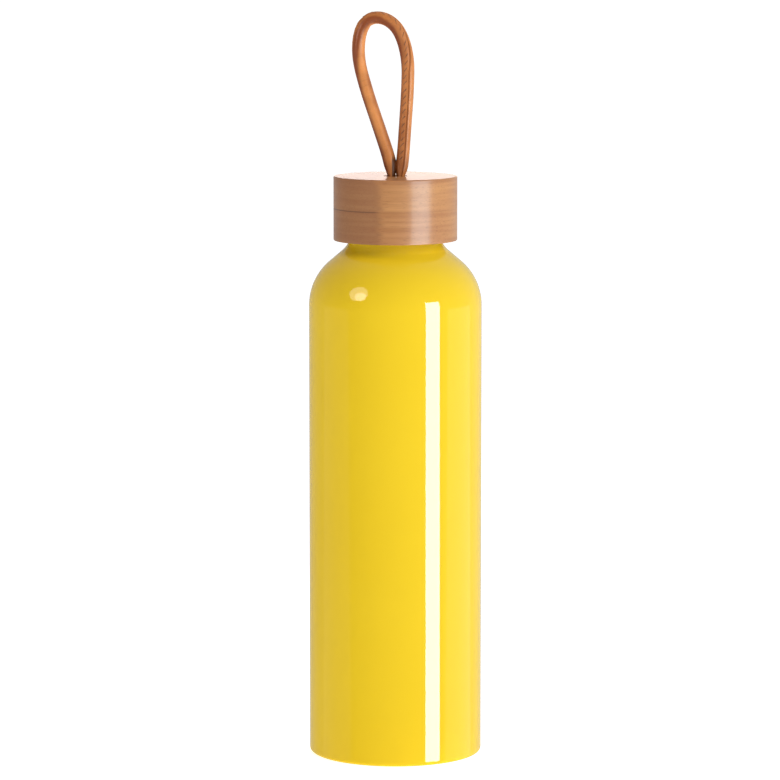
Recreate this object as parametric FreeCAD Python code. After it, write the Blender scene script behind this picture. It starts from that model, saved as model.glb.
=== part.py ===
"""Insulated water bottle with a screw lid of bamboo and a leather carry loop.

Frame: millimetres, +Z up, origin at the centre of the ring that the bottle stands on.
The loop stands in the XZ plane, with its seam towards -Y, which is the front.

The bottle is a double-walled steel flask: a lacquered outer shell and a bare inner vessel, welded
together at the lip, with a vacuum between them. The lid is a turned bamboo cup with a moulded
threaded liner inside it. The two ends of the loop pass through one hole in the lid's top, and a
washer and a crimped ferrule hold them in a pocket above the liner.
"""

import FreeCAD, Part  # noqa: E401  FreeCAD has to be imported before Part
import os
from math import cos, degrees, pi, radians, sin, tan

V = FreeCAD.Vector
UP = V(0, 0, 1)
FRONT = V(0, -1, 0)
CENTRE = V(0, 0, 0)

# ---- driving dimensions ---------------------------------------------------------------------

# outer shell
BODY_RADIUS = 33.0
SHELL_WALL = 0.5
BASE_CORNER = 1.6  # radius of the rolled bottom edge
STAND_LIP = 0.8  # flat ring inside that corner, which carries the bottle
SHOULDER_START = 173.0  # where the straight side ends
SHOULDER_RADIUS = 21.9
SHOULDER_SLOPE = 49.7  # degrees from upright, where the dome turns into a cone
CONE_LENGTH = 6.3
THROAT_RADIUS = 10.9  # the hollow curve between the cone and the neck
RIM_TOP = 210.7

# neck thread and the liner's matching thread
PITCH = 4.0
THREAD_DEPTH = 1.3
THREAD_ROOT_WIDTH = 2.1
THREAD_CREST_WIDTH = 0.9
THREAD_CLEARANCE = 0.35  # radial, crest to root
THREAD_BITE = 0.25  # how far a ridge reaches into its own wall
NECK_THREAD_START = 204.3
NECK_THREAD_TURNS = 1.25
LINER_THREAD_TURNS = 1.25
LINER_THREAD_LEAD_IN = 0.15  # turns between the starts of the two threads

# inner vessel
VESSEL_RADIUS = 29.6
VESSEL_WALL = 0.4
NECK_GAP = 0.2  # between the two necks, below the welded lip
LIP_HEIGHT = 0.5
VESSEL_NECK_FILLET = 4.0
VESSEL_SEAM = 9.5  # where the side is welded to the bottom dish
VESSEL_FLOOR = 6.6
VESSEL_CORNER = 2.5
FOIL_THICKNESS = 0.1
FOIL_GAP = 0.05
FOIL_BOTTOM = 14.0
FOIL_TOP = 169.0

# base
BASE_RECESS = 3.0  # height of the base cup's underside above the floor
BASE_CUP_WALL = 0.5
BASE_CUP_CORNER = 1.2
FLANGE_LIFT = 0.15  # the cup's flange ends this much above the floor
PORT_RADIUS = 0.8
PORT_DIMPLE_RADIUS = 4.5
PORT_DIMPLE_DEPTH = 0.9
PORT_BEAD_RADIUS = 1.6
PORT_BEAD_DEPTH = 0.54
COVER_THICKNESS = 0.6
COVER_GAP = 0.05
COVER_CLEARANCE = 0.2
GETTER_RADIUS = 4.0
GETTER_HEIGHT = 1.2
GETTER_OFFSET = 14.0
CLIP_SIDE_GAP = 0.1
CLIP_TOP_GAP = 0.05
CLIP_THICKNESS = 0.25
CLIP_WIDTH = 3.0
CLIP_FOOT = 3.0

# bamboo lid
LID_RADIUS = 23.6
LID_BOTTOM = 197.8
LID_TOP = 222.3
LID_EDGE = 0.4
LINER_BORE = 20.0
LINER_SEAT = 214.0
POCKET_RADIUS = 12.0
POCKET_ROOF = 218.2
CORD_HOLE = 4.1
CORD_HOLE_ROUND = 0.6

# threaded liner
LINER_CLEARANCE = 0.05
LINER_BOTTOM = 198.6
LINER_CEILING = 212.4
LINER_PLUG = 14.2  # the tube that the sealing ring is pushed onto
LINER_PLUG_WALL = 1.2
LINER_FLANGE = 1.1  # how far the flange at the liner's mouth reaches into the bamboo
LINER_FLANGE_HEIGHT = 0.8
LINER_CORNER = 1.0
GLUE_GROOVES = 3
GLUE_GROOVE_DEPTH = 0.3
GLUE_GROOVE_WIDTH = 1.0

# sealing ring
SEAL_OUTER = 17.6
SEAL_INNER = 14.4
SEAL_PLUG_OUTER = 15.3
SEAL_PLUG_DEPTH = 1.4  # how far the plug lip reaches into the mouth
SEAL_GAP = 0.1
SEAL_ROUND = 0.6
SEAL_PLUG_ROUND = 0.4

# loop and its anchor
CORD_DIAMETER = 4.8
CORE_DIAMETER = 3.0
CORE_GAP = 0.03
PIVOT_HEIGHT = LID_TOP + 2.6  # the loop bends about the X axis at this height
BEND_GAP = 0.3
END_RADIUS = 3.8  # each squeezed end is half of a disc of this radius
END_SPLIT = 0.1  # half the gap between the two ends
LEG_SPACING = 2.45  # each leg's distance from the axis, just above the hole
ENDS_BOTTOM = 214.3
ENDS_TOP = LID_TOP + 0.4
WASHER_RADIUS = 8.0
WASHER_HOLE = 4.0
WASHER_THICKNESS = 1.0
WASHER_ROUND = 0.25
ANCHOR_GAP = 0.15
FERRULE_RADIUS = 5.2
FERRULE_HEIGHT = 2.6
FERRULE_GAP = 0.05  # below the washer
FERRULE_SLACK = 0.02  # round the squeezed ends
CRIMP_HEIGHTS = (0.3, 0.7)  # the crimped grooves' places, as shares of the ferrule's height
CRIMP_DEPTH = 0.3
CRIMP_WIDTH = 0.6
STITCH_DIAMETER = 0.6
STITCH_LENGTH = 1.5
STITCH_PITCH = 2.6
STITCH_GAP = 0.12
SEAM_START = -70.0  # the seam's place round the leather, in degrees from the inside of the loop
SEAM_END = 110.0  # towards the front, at the left end and at the right end

# The loop's route, from the left end in the ferrule, up, over and down to the right end.
ROUTE = [
    V(-2.0, 0, 214.3),
    V(-2.0, 0, 220.1),
    V(-2.3, 0, 227.2),
    V(-6.3, 0.1, 240.7),
    V(-11.2, 0.3, 255.1),
    V(-14.4, 0.6, 267.5),
    V(-13.5, 0.8, 277.6),
    V(-9.6, 0.9, 282.5),
    V(-3.2, 0.8, 281.9),
    V(1.9, 0.7, 277.0),
    V(4.8, 0.4, 267.0),
    V(4.6, 0.2, 255.2),
    V(3.7, 0.1, 241.8),
    V(2.75, 0, 228.0),
    V(2.0, 0, 220.1),
    V(2.0, 0, 214.3),
]


# ---- small tools ----------------------------------------------------------------------------


def point(r, z):
    """A point of a turned profile, at radius r and height z."""
    return V(r, 0, z)


def polygon(corners):
    """Straight edges through the (r, z) corners, closed."""
    points = [point(*c) for c in corners]
    return [Part.LineSegment(a, b).toShape() for a, b in zip(points, points[1:] + points[:1])]


def turned(edges):
    """The solid that a closed profile makes when it turns once about Z."""
    face = Part.Face(Part.Wire(Part.__sortEdges__(edges)))
    solid = face.revolve(CENTRE, UP, 360)
    if solid.Volume < 0:
        solid.reverse()
    return Part.Solid(solid.Shells[0]) if solid.ShapeType != "Solid" else solid


def ring(inner, outer, bottom, top):
    """A plain ring, or a disc where inner is 0."""
    disc = Part.makeCylinder(outer, top - bottom, V(0, 0, bottom))
    if not inner:
        return disc
    return disc.cut(Part.makeCylinder(inner, top - bottom, V(0, 0, bottom)))


def rounded(shape, radius, chosen):
    """shape with a fillet on each edge that chosen(edge) accepts."""
    return shape.makeFillet(radius, [e for e in shape.Edges if chosen(e)])


def circle_at(radius, height):
    """A test for the round edges of that radius at that height."""

    def chosen(edge):
        curve = edge.Curve
        if not isinstance(curve, Part.Circle):
            return False
        return abs(curve.Radius - radius) < 1e-4 and abs(curve.Center.z - height) < 1e-4

    return chosen


class Bend:
    """One arc of a wall's profile. Its normal turns from one angle to another, in degrees.

    bulge is 1 where the wall is rounded outwards and -1 where it is hollow. Arcs in a row are
    joined by straight lines, so a wall of any thickness is two offsets of the same row.
    """

    def __init__(self, centre, radius, bulge, begin, end):
        self.centre, self.radius, self.bulge = centre, radius, bulge
        self.begin, self.end = begin, end

    def at(self, angle, depth=0.0):
        """The point at that normal angle, depth below the wall's outer surface."""
        reach = self.bulge * self.radius - depth
        return self.centre + point(reach * cos(radians(angle)), reach * sin(radians(angle)))

    def edge(self, depth):
        middle = (self.begin + self.end) / 2
        ends = [self.at(a, depth) for a in (self.begin, middle, self.end)]
        return Part.Arc(*ends).toShape()


def wall(bends, depth, last):
    """The edges of a row of bends at that depth, with the lines between them, up to a last point."""
    edges = []
    for bend, after in zip(bends, bends[1:] + [None]):
        edges.append(bend.edge(depth))
        here = bend.at(bend.end, depth)
        there = after.at(after.begin, depth) if after else last
        edges.append(Part.LineSegment(here, there).toShape())
    return edges


def normal(angle):
    return point(cos(radians(angle)), sin(radians(angle)))


def slope(angle):
    """The direction up a wall whose normal has that angle."""
    return point(-sin(radians(angle)), cos(radians(angle)))


def thread_ridge(root, crest, start, turns):
    """A right-handed thread's ridge on a wall of radius root, as high as the radius crest.

    start is the height at which its middle line passes angle 0, and turns is where along that
    line the ridge begins and ends.
    """
    outward = 1 if crest > root else -1
    foot = root - outward * THREAD_BITE
    widen = (THREAD_ROOT_WIDTH - THREAD_CREST_WIDTH) / 2 / abs(crest - root)
    foot_half = THREAD_ROOT_WIDTH / 2 + widen * THREAD_BITE
    crest_half = THREAD_CREST_WIDTH / 2
    first, last = turns
    profile = Part.makePolygon(
        [
            point(foot, -foot_half),
            point(crest, -crest_half),
            point(crest, crest_half),
            point(foot, foot_half),
            point(foot, -foot_half),
        ]
    )
    helix = Part.makeHelix(PITCH, PITCH * (last - first), root)
    ridge = Part.Wire(helix.Edges).makePipeShell([profile], True, True)
    ridge = Part.Solid(ridge.Shells[0]) if ridge.ShapeType != "Solid" else ridge
    ridge.rotate(CENTRE, UP, 360 * first)
    ridge.translate(V(0, 0, start + PITCH * first))
    return ridge


# ---- profiles that several parts share ------------------------------------------------------


def shell_bends():
    """The outer shell's profile, from the ring it stands on to the foot of the neck."""
    corner = Bend(point(BODY_RADIUS - BASE_CORNER, BASE_CORNER), BASE_CORNER, 1, -90, 0)
    dome_centre = point(BODY_RADIUS - SHOULDER_RADIUS, SHOULDER_START)
    dome = Bend(dome_centre, SHOULDER_RADIUS, 1, 0, SHOULDER_SLOPE)
    cone_top = dome.at(SHOULDER_SLOPE) + slope(SHOULDER_SLOPE) * CONE_LENGTH
    throat_centre = cone_top + normal(SHOULDER_SLOPE) * THROAT_RADIUS
    return [corner, dome, Bend(throat_centre, THROAT_RADIUS, -1, SHOULDER_SLOPE, 0)]


NECK_RADIUS = shell_bends()[-1].at(0).x
SHELL_NECK_INNER = NECK_RADIUS - SHELL_WALL
VESSEL_NECK_RADIUS = SHELL_NECK_INNER - NECK_GAP
MOUTH_RADIUS = VESSEL_NECK_RADIUS - VESSEL_WALL
NECK_CREST = NECK_RADIUS + THREAD_DEPTH
LINER_ROOT = NECK_CREST + THREAD_CLEARANCE
LINER_CREST = NECK_RADIUS + THREAD_CLEARANCE
LINER_RADIUS = LINER_BORE - LINER_CLEARANCE
LIP_END = BODY_RADIUS - BASE_CORNER - STAND_LIP  # where the shell's bottom lip meets the cup


# ---- the bottle -----------------------------------------------------------------------------


def outer_shell():
    """The lacquered shell: side, shoulder and neck, with the thread rolled into the neck.

    Its top edge turns in to meet the vessel's neck, where the two are welded.
    """
    bends = shell_bends()
    weld = point(VESSEL_NECK_RADIUS, RIM_TOP)
    outside = wall(bends, 0, point(NECK_RADIUS, RIM_TOP))
    inside = wall(bends, SHELL_WALL, point(SHELL_NECK_INNER, RIM_TOP - LIP_HEIGHT))
    closing = [
        (point(NECK_RADIUS, RIM_TOP), weld),
        (weld, weld - UP * LIP_HEIGHT),
        (weld - UP * LIP_HEIGHT, point(SHELL_NECK_INNER, RIM_TOP - LIP_HEIGHT)),
        (bends[0].at(-90), point(LIP_END, 0)),
        (point(LIP_END, 0), point(LIP_END, SHELL_WALL)),
        (point(LIP_END, SHELL_WALL), bends[0].at(-90, SHELL_WALL)),
    ]
    shell = turned(outside + inside + [Part.LineSegment(a, b).toShape() for a, b in closing])
    shell = rounded(shell, LIP_HEIGHT / 2, circle_at(NECK_RADIUS, RIM_TOP))
    thread = thread_ridge(NECK_RADIUS, NECK_CREST, NECK_THREAD_START, (0, NECK_THREAD_TURNS))
    return shell.fuse(thread).removeSplitter()


def inner_vessel():
    """The vessel that holds the drink: side, shoulder and neck, open at both ends."""
    dome_radius = SHOULDER_RADIUS - (BODY_RADIUS - VESSEL_RADIUS)
    dome_centre = point(VESSEL_RADIUS - dome_radius, SHOULDER_START)
    dome = Bend(dome_centre, dome_radius, 1, 0, SHOULDER_SLOPE)
    # the cone runs on until its fillet lands on the neck
    across = VESSEL_NECK_FILLET * (1 - cos(radians(SHOULDER_SLOPE)))
    drop = dome.at(SHOULDER_SLOPE).x - VESSEL_NECK_RADIUS - across
    cone_top = dome.at(SHOULDER_SLOPE) + slope(SHOULDER_SLOPE) * (
        drop / sin(radians(SHOULDER_SLOPE))
    )
    fillet_centre = cone_top + normal(SHOULDER_SLOPE) * VESSEL_NECK_FILLET
    bends = [dome, Bend(fillet_centre, VESSEL_NECK_FILLET, -1, SHOULDER_SLOPE, 0)]
    outside = wall(bends, 0, point(VESSEL_NECK_RADIUS, RIM_TOP))
    inside = wall(bends, VESSEL_WALL, point(MOUTH_RADIUS, RIM_TOP))
    seam = point(VESSEL_RADIUS, VESSEL_SEAM)
    seam_inside = seam - point(VESSEL_WALL, 0)
    closing = [
        (point(VESSEL_NECK_RADIUS, RIM_TOP), point(MOUTH_RADIUS, RIM_TOP)),
        (dome.at(0), seam),
        (seam, seam_inside),
        (seam_inside, dome.at(0, VESSEL_WALL)),
    ]
    return turned(outside + inside + [Part.LineSegment(a, b).toShape() for a, b in closing])


def vessel_bottom():
    """The dished bottom that is welded to the lower edge of the vessel's side."""
    corner_centre = point(VESSEL_RADIUS - VESSEL_CORNER, VESSEL_FLOOR + VESSEL_CORNER)
    corner = Bend(corner_centre, VESSEL_CORNER, 1, -90, 0)
    floor = point(0, VESSEL_FLOOR)
    seam = point(VESSEL_RADIUS, VESSEL_SEAM)
    outside = wall([corner], 0, seam)
    inside = wall([corner], VESSEL_WALL, seam - point(VESSEL_WALL, 0))
    closing = [
        (seam, seam - point(VESSEL_WALL, 0)),
        (corner.at(-90), floor),
        (floor, floor + UP * VESSEL_WALL),
        (floor + UP * VESSEL_WALL, corner.at(-90, VESSEL_WALL)),
    ]
    return turned(outside + inside + [Part.LineSegment(a, b).toShape() for a, b in closing])


def heat_foil():
    """The copper foil wrapped round the vessel's side, inside the vacuum."""
    inner = VESSEL_RADIUS + FOIL_GAP
    return ring(inner, inner + FOIL_THICKNESS, FOIL_BOTTOM, FOIL_TOP)


def base_cup():
    """The outer bottom: a shallow cup, open downwards, welded into the shell's bottom edge.

    The dimple in its middle holds the port that the air is drawn out of.
    """
    cup_top = BASE_RECESS + BASE_CUP_WALL
    cup = ring(0, LIP_END, FLANGE_LIFT, cup_top)
    cup = rounded(cup, BASE_CUP_CORNER, circle_at(LIP_END, cup_top))
    hollow = ring(0, LIP_END - BASE_CUP_WALL, FLANGE_LIFT, BASE_RECESS)
    inner_corner = circle_at(LIP_END - BASE_CUP_WALL, BASE_RECESS)
    hollow = rounded(hollow, BASE_CUP_CORNER - BASE_CUP_WALL, inner_corner)
    boss = ring(0, PORT_DIMPLE_RADIUS + BASE_CUP_WALL, BASE_RECESS, cup_top + PORT_DIMPLE_DEPTH)
    dimple = ring(0, PORT_DIMPLE_RADIUS, BASE_RECESS, BASE_RECESS + PORT_DIMPLE_DEPTH)
    port = ring(0, PORT_RADIUS, BASE_RECESS, cup_top + PORT_DIMPLE_DEPTH)
    return cup.cut(hollow).fuse(boss).cut(dimple).cut(port).removeSplitter()


def port_seal():
    """The bead of solder glass that closes the port: a plug with a low dome below it."""
    foot = BASE_RECESS + PORT_DIMPLE_DEPTH
    plug = ring(0, PORT_RADIUS, foot, foot + BASE_CUP_WALL)
    ball_radius = (PORT_BEAD_RADIUS**2 + PORT_BEAD_DEPTH**2) / (2 * PORT_BEAD_DEPTH)
    ball = Part.makeSphere(ball_radius, V(0, 0, foot - PORT_BEAD_DEPTH + ball_radius))
    dome = ball.common(ring(0, PORT_BEAD_RADIUS, foot - PORT_BEAD_DEPTH, foot))
    return plug.fuse(dome).removeSplitter()


def base_cover():
    """The plate that is stuck under the base cup and hides its port."""
    top = BASE_RECESS - COVER_GAP
    radius = LIP_END - BASE_CUP_WALL - COVER_CLEARANCE - (BASE_CUP_CORNER - BASE_CUP_WALL)
    plate = ring(0, radius, top - COVER_THICKNESS, top)
    return rounded(plate, COVER_THICKNESS / 3, circle_at(radius, top - COVER_THICKNESS))


def getter():
    """The pill of getter metal that keeps the vacuum, on the base cup's inner face."""
    pill = ring(0, GETTER_RADIUS, 0, GETTER_HEIGHT)
    pill = rounded(pill, GETTER_HEIGHT / 4, circle_at(GETTER_RADIUS, GETTER_HEIGHT))
    pill.translate(V(GETTER_OFFSET, 0, BASE_RECESS + BASE_CUP_WALL))
    return pill


def getter_clip():
    """The spot-welded strap over the getter, with a foot at each end."""
    floor = BASE_RECESS + BASE_CUP_WALL
    inside = GETTER_RADIUS + CLIP_SIDE_GAP
    height = GETTER_HEIGHT + CLIP_TOP_GAP
    outside = inside + CLIP_THICKNESS
    corners = [
        (-outside - CLIP_FOOT, 0),
        (-inside, 0),
        (-inside, height),
        (inside, height),
        (inside, 0),
        (outside + CLIP_FOOT, 0),
        (outside + CLIP_FOOT, CLIP_THICKNESS),
        (outside, CLIP_THICKNESS),
        (outside, height + CLIP_THICKNESS),
        (-outside, height + CLIP_THICKNESS),
        (-outside, CLIP_THICKNESS),
        (-outside - CLIP_FOOT, CLIP_THICKNESS),
    ]
    strap = Part.Face(Part.Wire(polygon(corners))).extrude(V(0, CLIP_WIDTH, 0))
    strap.translate(V(0, -CLIP_WIDTH / 2, 0))
    strap.rotate(CENTRE, UP, 90)
    strap.translate(V(GETTER_OFFSET, 0, floor))
    return strap


# ---- the lid --------------------------------------------------------------------------------


def bamboo_lid():
    """The turned bamboo cup, with the liner's bore, the anchor's pocket and the cord's hole."""
    block = ring(0, LID_RADIUS, LID_BOTTOM, LID_TOP)
    block = rounded(block, LID_EDGE, lambda e: isinstance(e.Curve, Part.Circle))
    bore = ring(0, LINER_BORE, LID_BOTTOM, LINER_SEAT)
    flange_seat = LINER_BOTTOM + LINER_FLANGE_HEIGHT + LINER_CLEARANCE
    step = ring(0, LINER_BORE + LINER_FLANGE, LID_BOTTOM, flange_seat)
    pocket = ring(0, POCKET_RADIUS, LINER_SEAT, POCKET_ROOF)
    hole = ring(0, CORD_HOLE, POCKET_ROOF, LID_TOP)
    lid = block.cut(bore).cut(step).cut(pocket).cut(hole)
    return rounded(lid, CORD_HOLE_ROUND, circle_at(CORD_HOLE, LID_TOP))


def thread_liner():
    """The moulded liner: a cup open downwards, threaded inside and grooved outside for glue."""
    top = LINER_SEAT - LINER_CLEARANCE
    flange_top = LINER_BOTTOM + LINER_FLANGE_HEIGHT
    cup = ring(0, LINER_RADIUS, LINER_BOTTOM, top)
    cup = cup.fuse(ring(0, LINER_RADIUS + LINER_FLANGE, LINER_BOTTOM, flange_top))
    cup = cup.cut(ring(0, LINER_ROOT, LINER_BOTTOM, LINER_CEILING))
    cup = rounded(cup, LINER_CORNER, circle_at(LINER_ROOT, LINER_CEILING))
    cup = cup.fuse(ring(LINER_PLUG - LINER_PLUG_WALL, LINER_PLUG, RIM_TOP, LINER_CEILING))
    spacing = (top - flange_top) / (GLUE_GROOVES + 1)
    groove_floor = LINER_RADIUS - GLUE_GROOVE_DEPTH
    for i in range(GLUE_GROOVES):
        low = flange_top + spacing * (i + 1) - GLUE_GROOVE_WIDTH / 2
        cup = cup.cut(ring(groove_floor, LINER_BORE, low, low + GLUE_GROOVE_WIDTH))
    start = NECK_THREAD_START - PITCH / 2
    run = (LINER_THREAD_LEAD_IN, LINER_THREAD_LEAD_IN + LINER_THREAD_TURNS)
    return cup.fuse(thread_ridge(LINER_ROOT, LINER_CREST, start, run)).removeSplitter()


def sealing_ring():
    """The silicone ring: a flat washer on the rim, with a lip that plugs the mouth."""
    low, high = RIM_TOP + SEAL_GAP, LINER_CEILING - SEAL_GAP
    seal = ring(SEAL_INNER, SEAL_OUTER, low, high)
    seal = rounded(seal, SEAL_ROUND, circle_at(SEAL_OUTER, high))
    lip_bottom = RIM_TOP - SEAL_PLUG_DEPTH
    lip = ring(SEAL_INNER, SEAL_PLUG_OUTER, lip_bottom, high)
    lip = rounded(lip, SEAL_PLUG_ROUND, circle_at(SEAL_PLUG_OUTER, lip_bottom))
    return seal.fuse(lip).removeSplitter()


# ---- the loop -------------------------------------------------------------------------------


def route_path(points, show=False):
    """The loop's centreline: straight runs joined by the largest tangent arcs that fit."""
    edges, here = [], points[0]
    for before, corner, after in zip(points, points[1:], points[2:]):
        arriving, leaving = corner - before, after - corner
        turn = arriving.getAngle(leaving)
        setback = 0.45 * min(arriving.Length, leaving.Length)
        if show:
            print(f"turn {degrees(turn):5.1f} degrees, radius {setback / tan(turn / 2):6.1f} mm")
        arriving.normalize()
        leaving.normalize()
        start, end = corner - arriving * setback, corner + leaving * setback
        to_centre = leaving - arriving
        to_centre.normalize()
        sagitta = setback * (1 / cos(turn / 2) - 1) / tan(turn / 2)
        middle = corner + to_centre * sagitta
        edges.append(Part.LineSegment(here, start).toShape())
        edges.append(Part.Arc(start, middle, end).toShape())
        here = end
    edges.append(Part.LineSegment(here, points[-1]).toShape())
    return edges


def above_bend(shape):
    """The part of a shape that bends with the loop: what lies above the bend's gap."""
    floor = PIVOT_HEIGHT + CORD_DIAMETER / 2 + BEND_GAP
    return shape.common(Part.makeBox(200, 200, 200, V(-100, -100, floor)))


def loop_bar(diameter):
    """A round bar along the route, cut off level above the bend's gap."""
    path = Part.Wire(route_path(ROUTE))
    start = Part.Wire(Part.makeCircle(diameter / 2, ROUTE[0], UP))
    return above_bend(path.makePipeShell([start], True, True))


def carry_loop():
    """The leather sleeve of the loop, a strip rolled round its core and sewn along one side."""
    return loop_bar(CORD_DIAMETER).cut(loop_bar(CORE_DIAMETER))


def loop_core():
    """The soft filler cord inside the rolled leather."""
    return loop_bar(CORE_DIAMETER - 2 * CORE_GAP)


def loop_stitches():
    """The sewing thread along the leather's seam, one short bar for each visible stitch."""
    path = Part.Wire(Part.__sortEdges__(above_bend(Part.Wire(route_path(ROUTE))).Edges))
    count = int(path.Length / STITCH_PITCH) - 1
    places = path.discretize(Number=2 * count + 1)
    lift = CORD_DIAMETER / 2 + STITCH_DIAMETER / 2 + STITCH_GAP
    bars = []
    for i in range(count):
        before, here, after = places[2 * i : 2 * i + 3]
        along = after - before
        along.normalize()
        inward = along.cross(FRONT)
        inward.normalize()
        angle = radians(SEAM_START + (SEAM_END - SEAM_START) * (i + 0.5) / count)
        side = inward * cos(angle) + inward.cross(along) * sin(angle)
        foot = here + side * lift - along * (STITCH_LENGTH / 2)
        bars.append(Part.makeCylinder(STITCH_DIAMETER / 2, STITCH_LENGTH, foot, along))
    return Part.makeCompound(bars)


def loop_ends():
    """The two ends of the leather, squeezed into half discs in the lid's hole.

    Above the hole each swells to a round leg, whose top is rounded about the bend's axis.
    """
    leg_top = PIVOT_HEIGHT + CORD_DIAMETER / 2
    room = 2 * END_RADIUS
    knuckle = Part.makeCylinder(CORD_DIAMETER / 2, 2 * room, V(-room, 0, PIVOT_HEIGHT), V(1, 0, 0))
    below = ring(0, 2 * room, ENDS_BOTTOM, PIVOT_HEIGHT)
    disc = ring(0, END_RADIUS, ENDS_BOTTOM, ENDS_TOP)
    ends = []
    for side in (-1, 1):
        corner = V(END_SPLIT if side > 0 else -END_SPLIT - room, -room, ENDS_BOTTOM)
        half = disc.common(Part.makeBox(room, 2 * room, ENDS_TOP - ENDS_BOTTOM, corner))
        foot = V(side * LEG_SPACING, 0, ENDS_TOP)
        leg = Part.makeCylinder(CORD_DIAMETER / 2, leg_top - ENDS_TOP, foot)
        leg = leg.common(knuckle.fuse(below))
        ends += half.fuse(leg).removeSplitter().Solids
    return Part.makeCompound(ends)


def anchor_washer():
    """The washer that spreads the loop's pull over the bamboo above it."""
    top = POCKET_ROOF - ANCHOR_GAP
    washer = ring(WASHER_HOLE, WASHER_RADIUS, top - WASHER_THICKNESS, top)
    return rounded(washer, WASHER_ROUND, circle_at(WASHER_RADIUS, top - WASHER_THICKNESS))


def crimp_ferrule():
    """The sleeve that is crimped round both ends, too wide to pass the washer."""
    top = POCKET_ROOF - ANCHOR_GAP - WASHER_THICKNESS - FERRULE_GAP
    ferrule = ring(END_RADIUS + FERRULE_SLACK, FERRULE_RADIUS, top - FERRULE_HEIGHT, top)
    for share in CRIMP_HEIGHTS:
        low = top - FERRULE_HEIGHT * share - CRIMP_WIDTH / 2
        groove = ring(FERRULE_RADIUS - CRIMP_DEPTH, 2 * FERRULE_RADIUS, low, low + CRIMP_WIDTH)
        ferrule = ferrule.cut(groove)
    return ferrule


# ---- output ---------------------------------------------------------------------------------

NODES = {
    "outer_shell": outer_shell,
    "inner_vessel": inner_vessel,
    "vessel_bottom": vessel_bottom,
    "heat_foil": heat_foil,
    "base_cup": base_cup,
    "port_seal": port_seal,
    "base_cover": base_cover,
    "getter": getter,
    "getter_clip": getter_clip,
    "bamboo_lid": bamboo_lid,
    "thread_liner": thread_liner,
    "sealing_ring": sealing_ring,
    "carry_loop": carry_loop,
    "loop_core": loop_core,
    "loop_stitches": loop_stitches,
    "loop_ends": loop_ends,
    "anchor_washer": anchor_washer,
    "crimp_ferrule": crimp_ferrule,
}

os.makedirs("parts", exist_ok=True)
route = Part.Wire(route_path(ROUTE, show=True))
section = pi * CORD_DIAMETER**2 / 4
bar = loop_bar(CORD_DIAMETER)
length = above_bend(route).Length
print(f"loop above the bend: {length:.1f} mm, volume {bar.Volume / section / length:.3f} of section x length")
for name, make in NODES.items():
    shape = make()
    print(f"{name}: {len(shape.Solids)} solids, {shape.Volume / 1000:.2f} ml, valid {shape.isValid()}")
    shape.exportStep(f"parts/{name}.step")
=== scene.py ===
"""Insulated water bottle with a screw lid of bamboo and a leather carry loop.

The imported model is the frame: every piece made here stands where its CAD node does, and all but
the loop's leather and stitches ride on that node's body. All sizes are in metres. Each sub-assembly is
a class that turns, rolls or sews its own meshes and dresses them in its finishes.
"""

from __future__ import annotations

import logging
from abc import ABC, abstractmethod
from collections.abc import Mapping, Sequence
from dataclasses import dataclass
from enum import Enum
from math import cos, exp, pi, radians, sin

import bmesh
import bpy
from mathutils import Matrix, Vector


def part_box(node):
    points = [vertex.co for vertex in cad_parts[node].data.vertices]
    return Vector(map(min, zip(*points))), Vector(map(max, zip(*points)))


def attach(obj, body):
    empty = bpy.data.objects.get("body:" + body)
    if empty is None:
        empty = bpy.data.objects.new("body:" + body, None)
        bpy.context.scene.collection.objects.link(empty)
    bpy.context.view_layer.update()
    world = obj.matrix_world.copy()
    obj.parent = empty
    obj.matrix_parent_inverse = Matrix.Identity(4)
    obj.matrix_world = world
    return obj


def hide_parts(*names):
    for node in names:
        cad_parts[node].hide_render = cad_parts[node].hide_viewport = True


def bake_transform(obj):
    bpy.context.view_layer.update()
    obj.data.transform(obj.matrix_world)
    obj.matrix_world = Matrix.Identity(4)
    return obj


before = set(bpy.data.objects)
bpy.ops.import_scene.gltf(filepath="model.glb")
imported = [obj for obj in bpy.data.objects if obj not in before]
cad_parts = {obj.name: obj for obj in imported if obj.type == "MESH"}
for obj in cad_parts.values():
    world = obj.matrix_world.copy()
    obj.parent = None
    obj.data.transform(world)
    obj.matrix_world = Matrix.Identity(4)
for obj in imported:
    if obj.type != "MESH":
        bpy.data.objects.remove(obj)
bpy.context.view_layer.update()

LOG = logging.getLogger("water_bottle")
MM = 0.001
MERGE = 1e-6  # points nearer than this are one
SHARP = radians(40)  # an edge that turns more than this is drawn crisp


class Slot(Enum):
    """The record's material slots. Nothing here uses them; each piece is given its finish directly."""

    LACQUER = "yellow_lacquer"
    STEEL = "bare_steel"
    BAMBOO = "bamboo"
    LINER = "liner_plastic"
    SILICONE = "silicone"
    LEATHER = "tan_leather"
    THREAD = "brown_thread"
    BRASS = "plain_brass"


class Body(Enum):
    """The bodies that move on their own."""

    BOTTLE = "bottle"
    SEAL = "seal"
    LID = "lid"
    ANCHOR = "loop_anchor"
    LOOP = "loop"


class Seen(Enum):
    """What a lamp is seen by: matt surfaces or glossy reflections."""

    MATT = (True, False)
    GLOSS = (False, True)


Table = tuple[tuple[float, float], ...]  # values at some places, in order


# ---- finishes -------------------------------------------------------------------------------


def linear(code: str) -> tuple[float, float, float, float]:
    """Turns an sRGB hex code into a linear colour.

    Args:
        code: The colour as #RRGGBB.

    Returns:
        The linear red, green and blue, and an alpha of 1.
    """
    parts = [int(code[i : i + 2], 16) / 255 for i in (1, 3, 5)]
    red, green, blue = (c / 12.92 if c <= 0.04045 else ((c + 0.055) / 1.055) ** 2.4 for c in parts)
    return red, green, blue, 1.0


def per(*sizes: float) -> tuple[float, ...]:
    """The mapping scale at which a pattern's features have these sizes in metres."""
    return tuple(1 / size for size in sizes)


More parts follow.
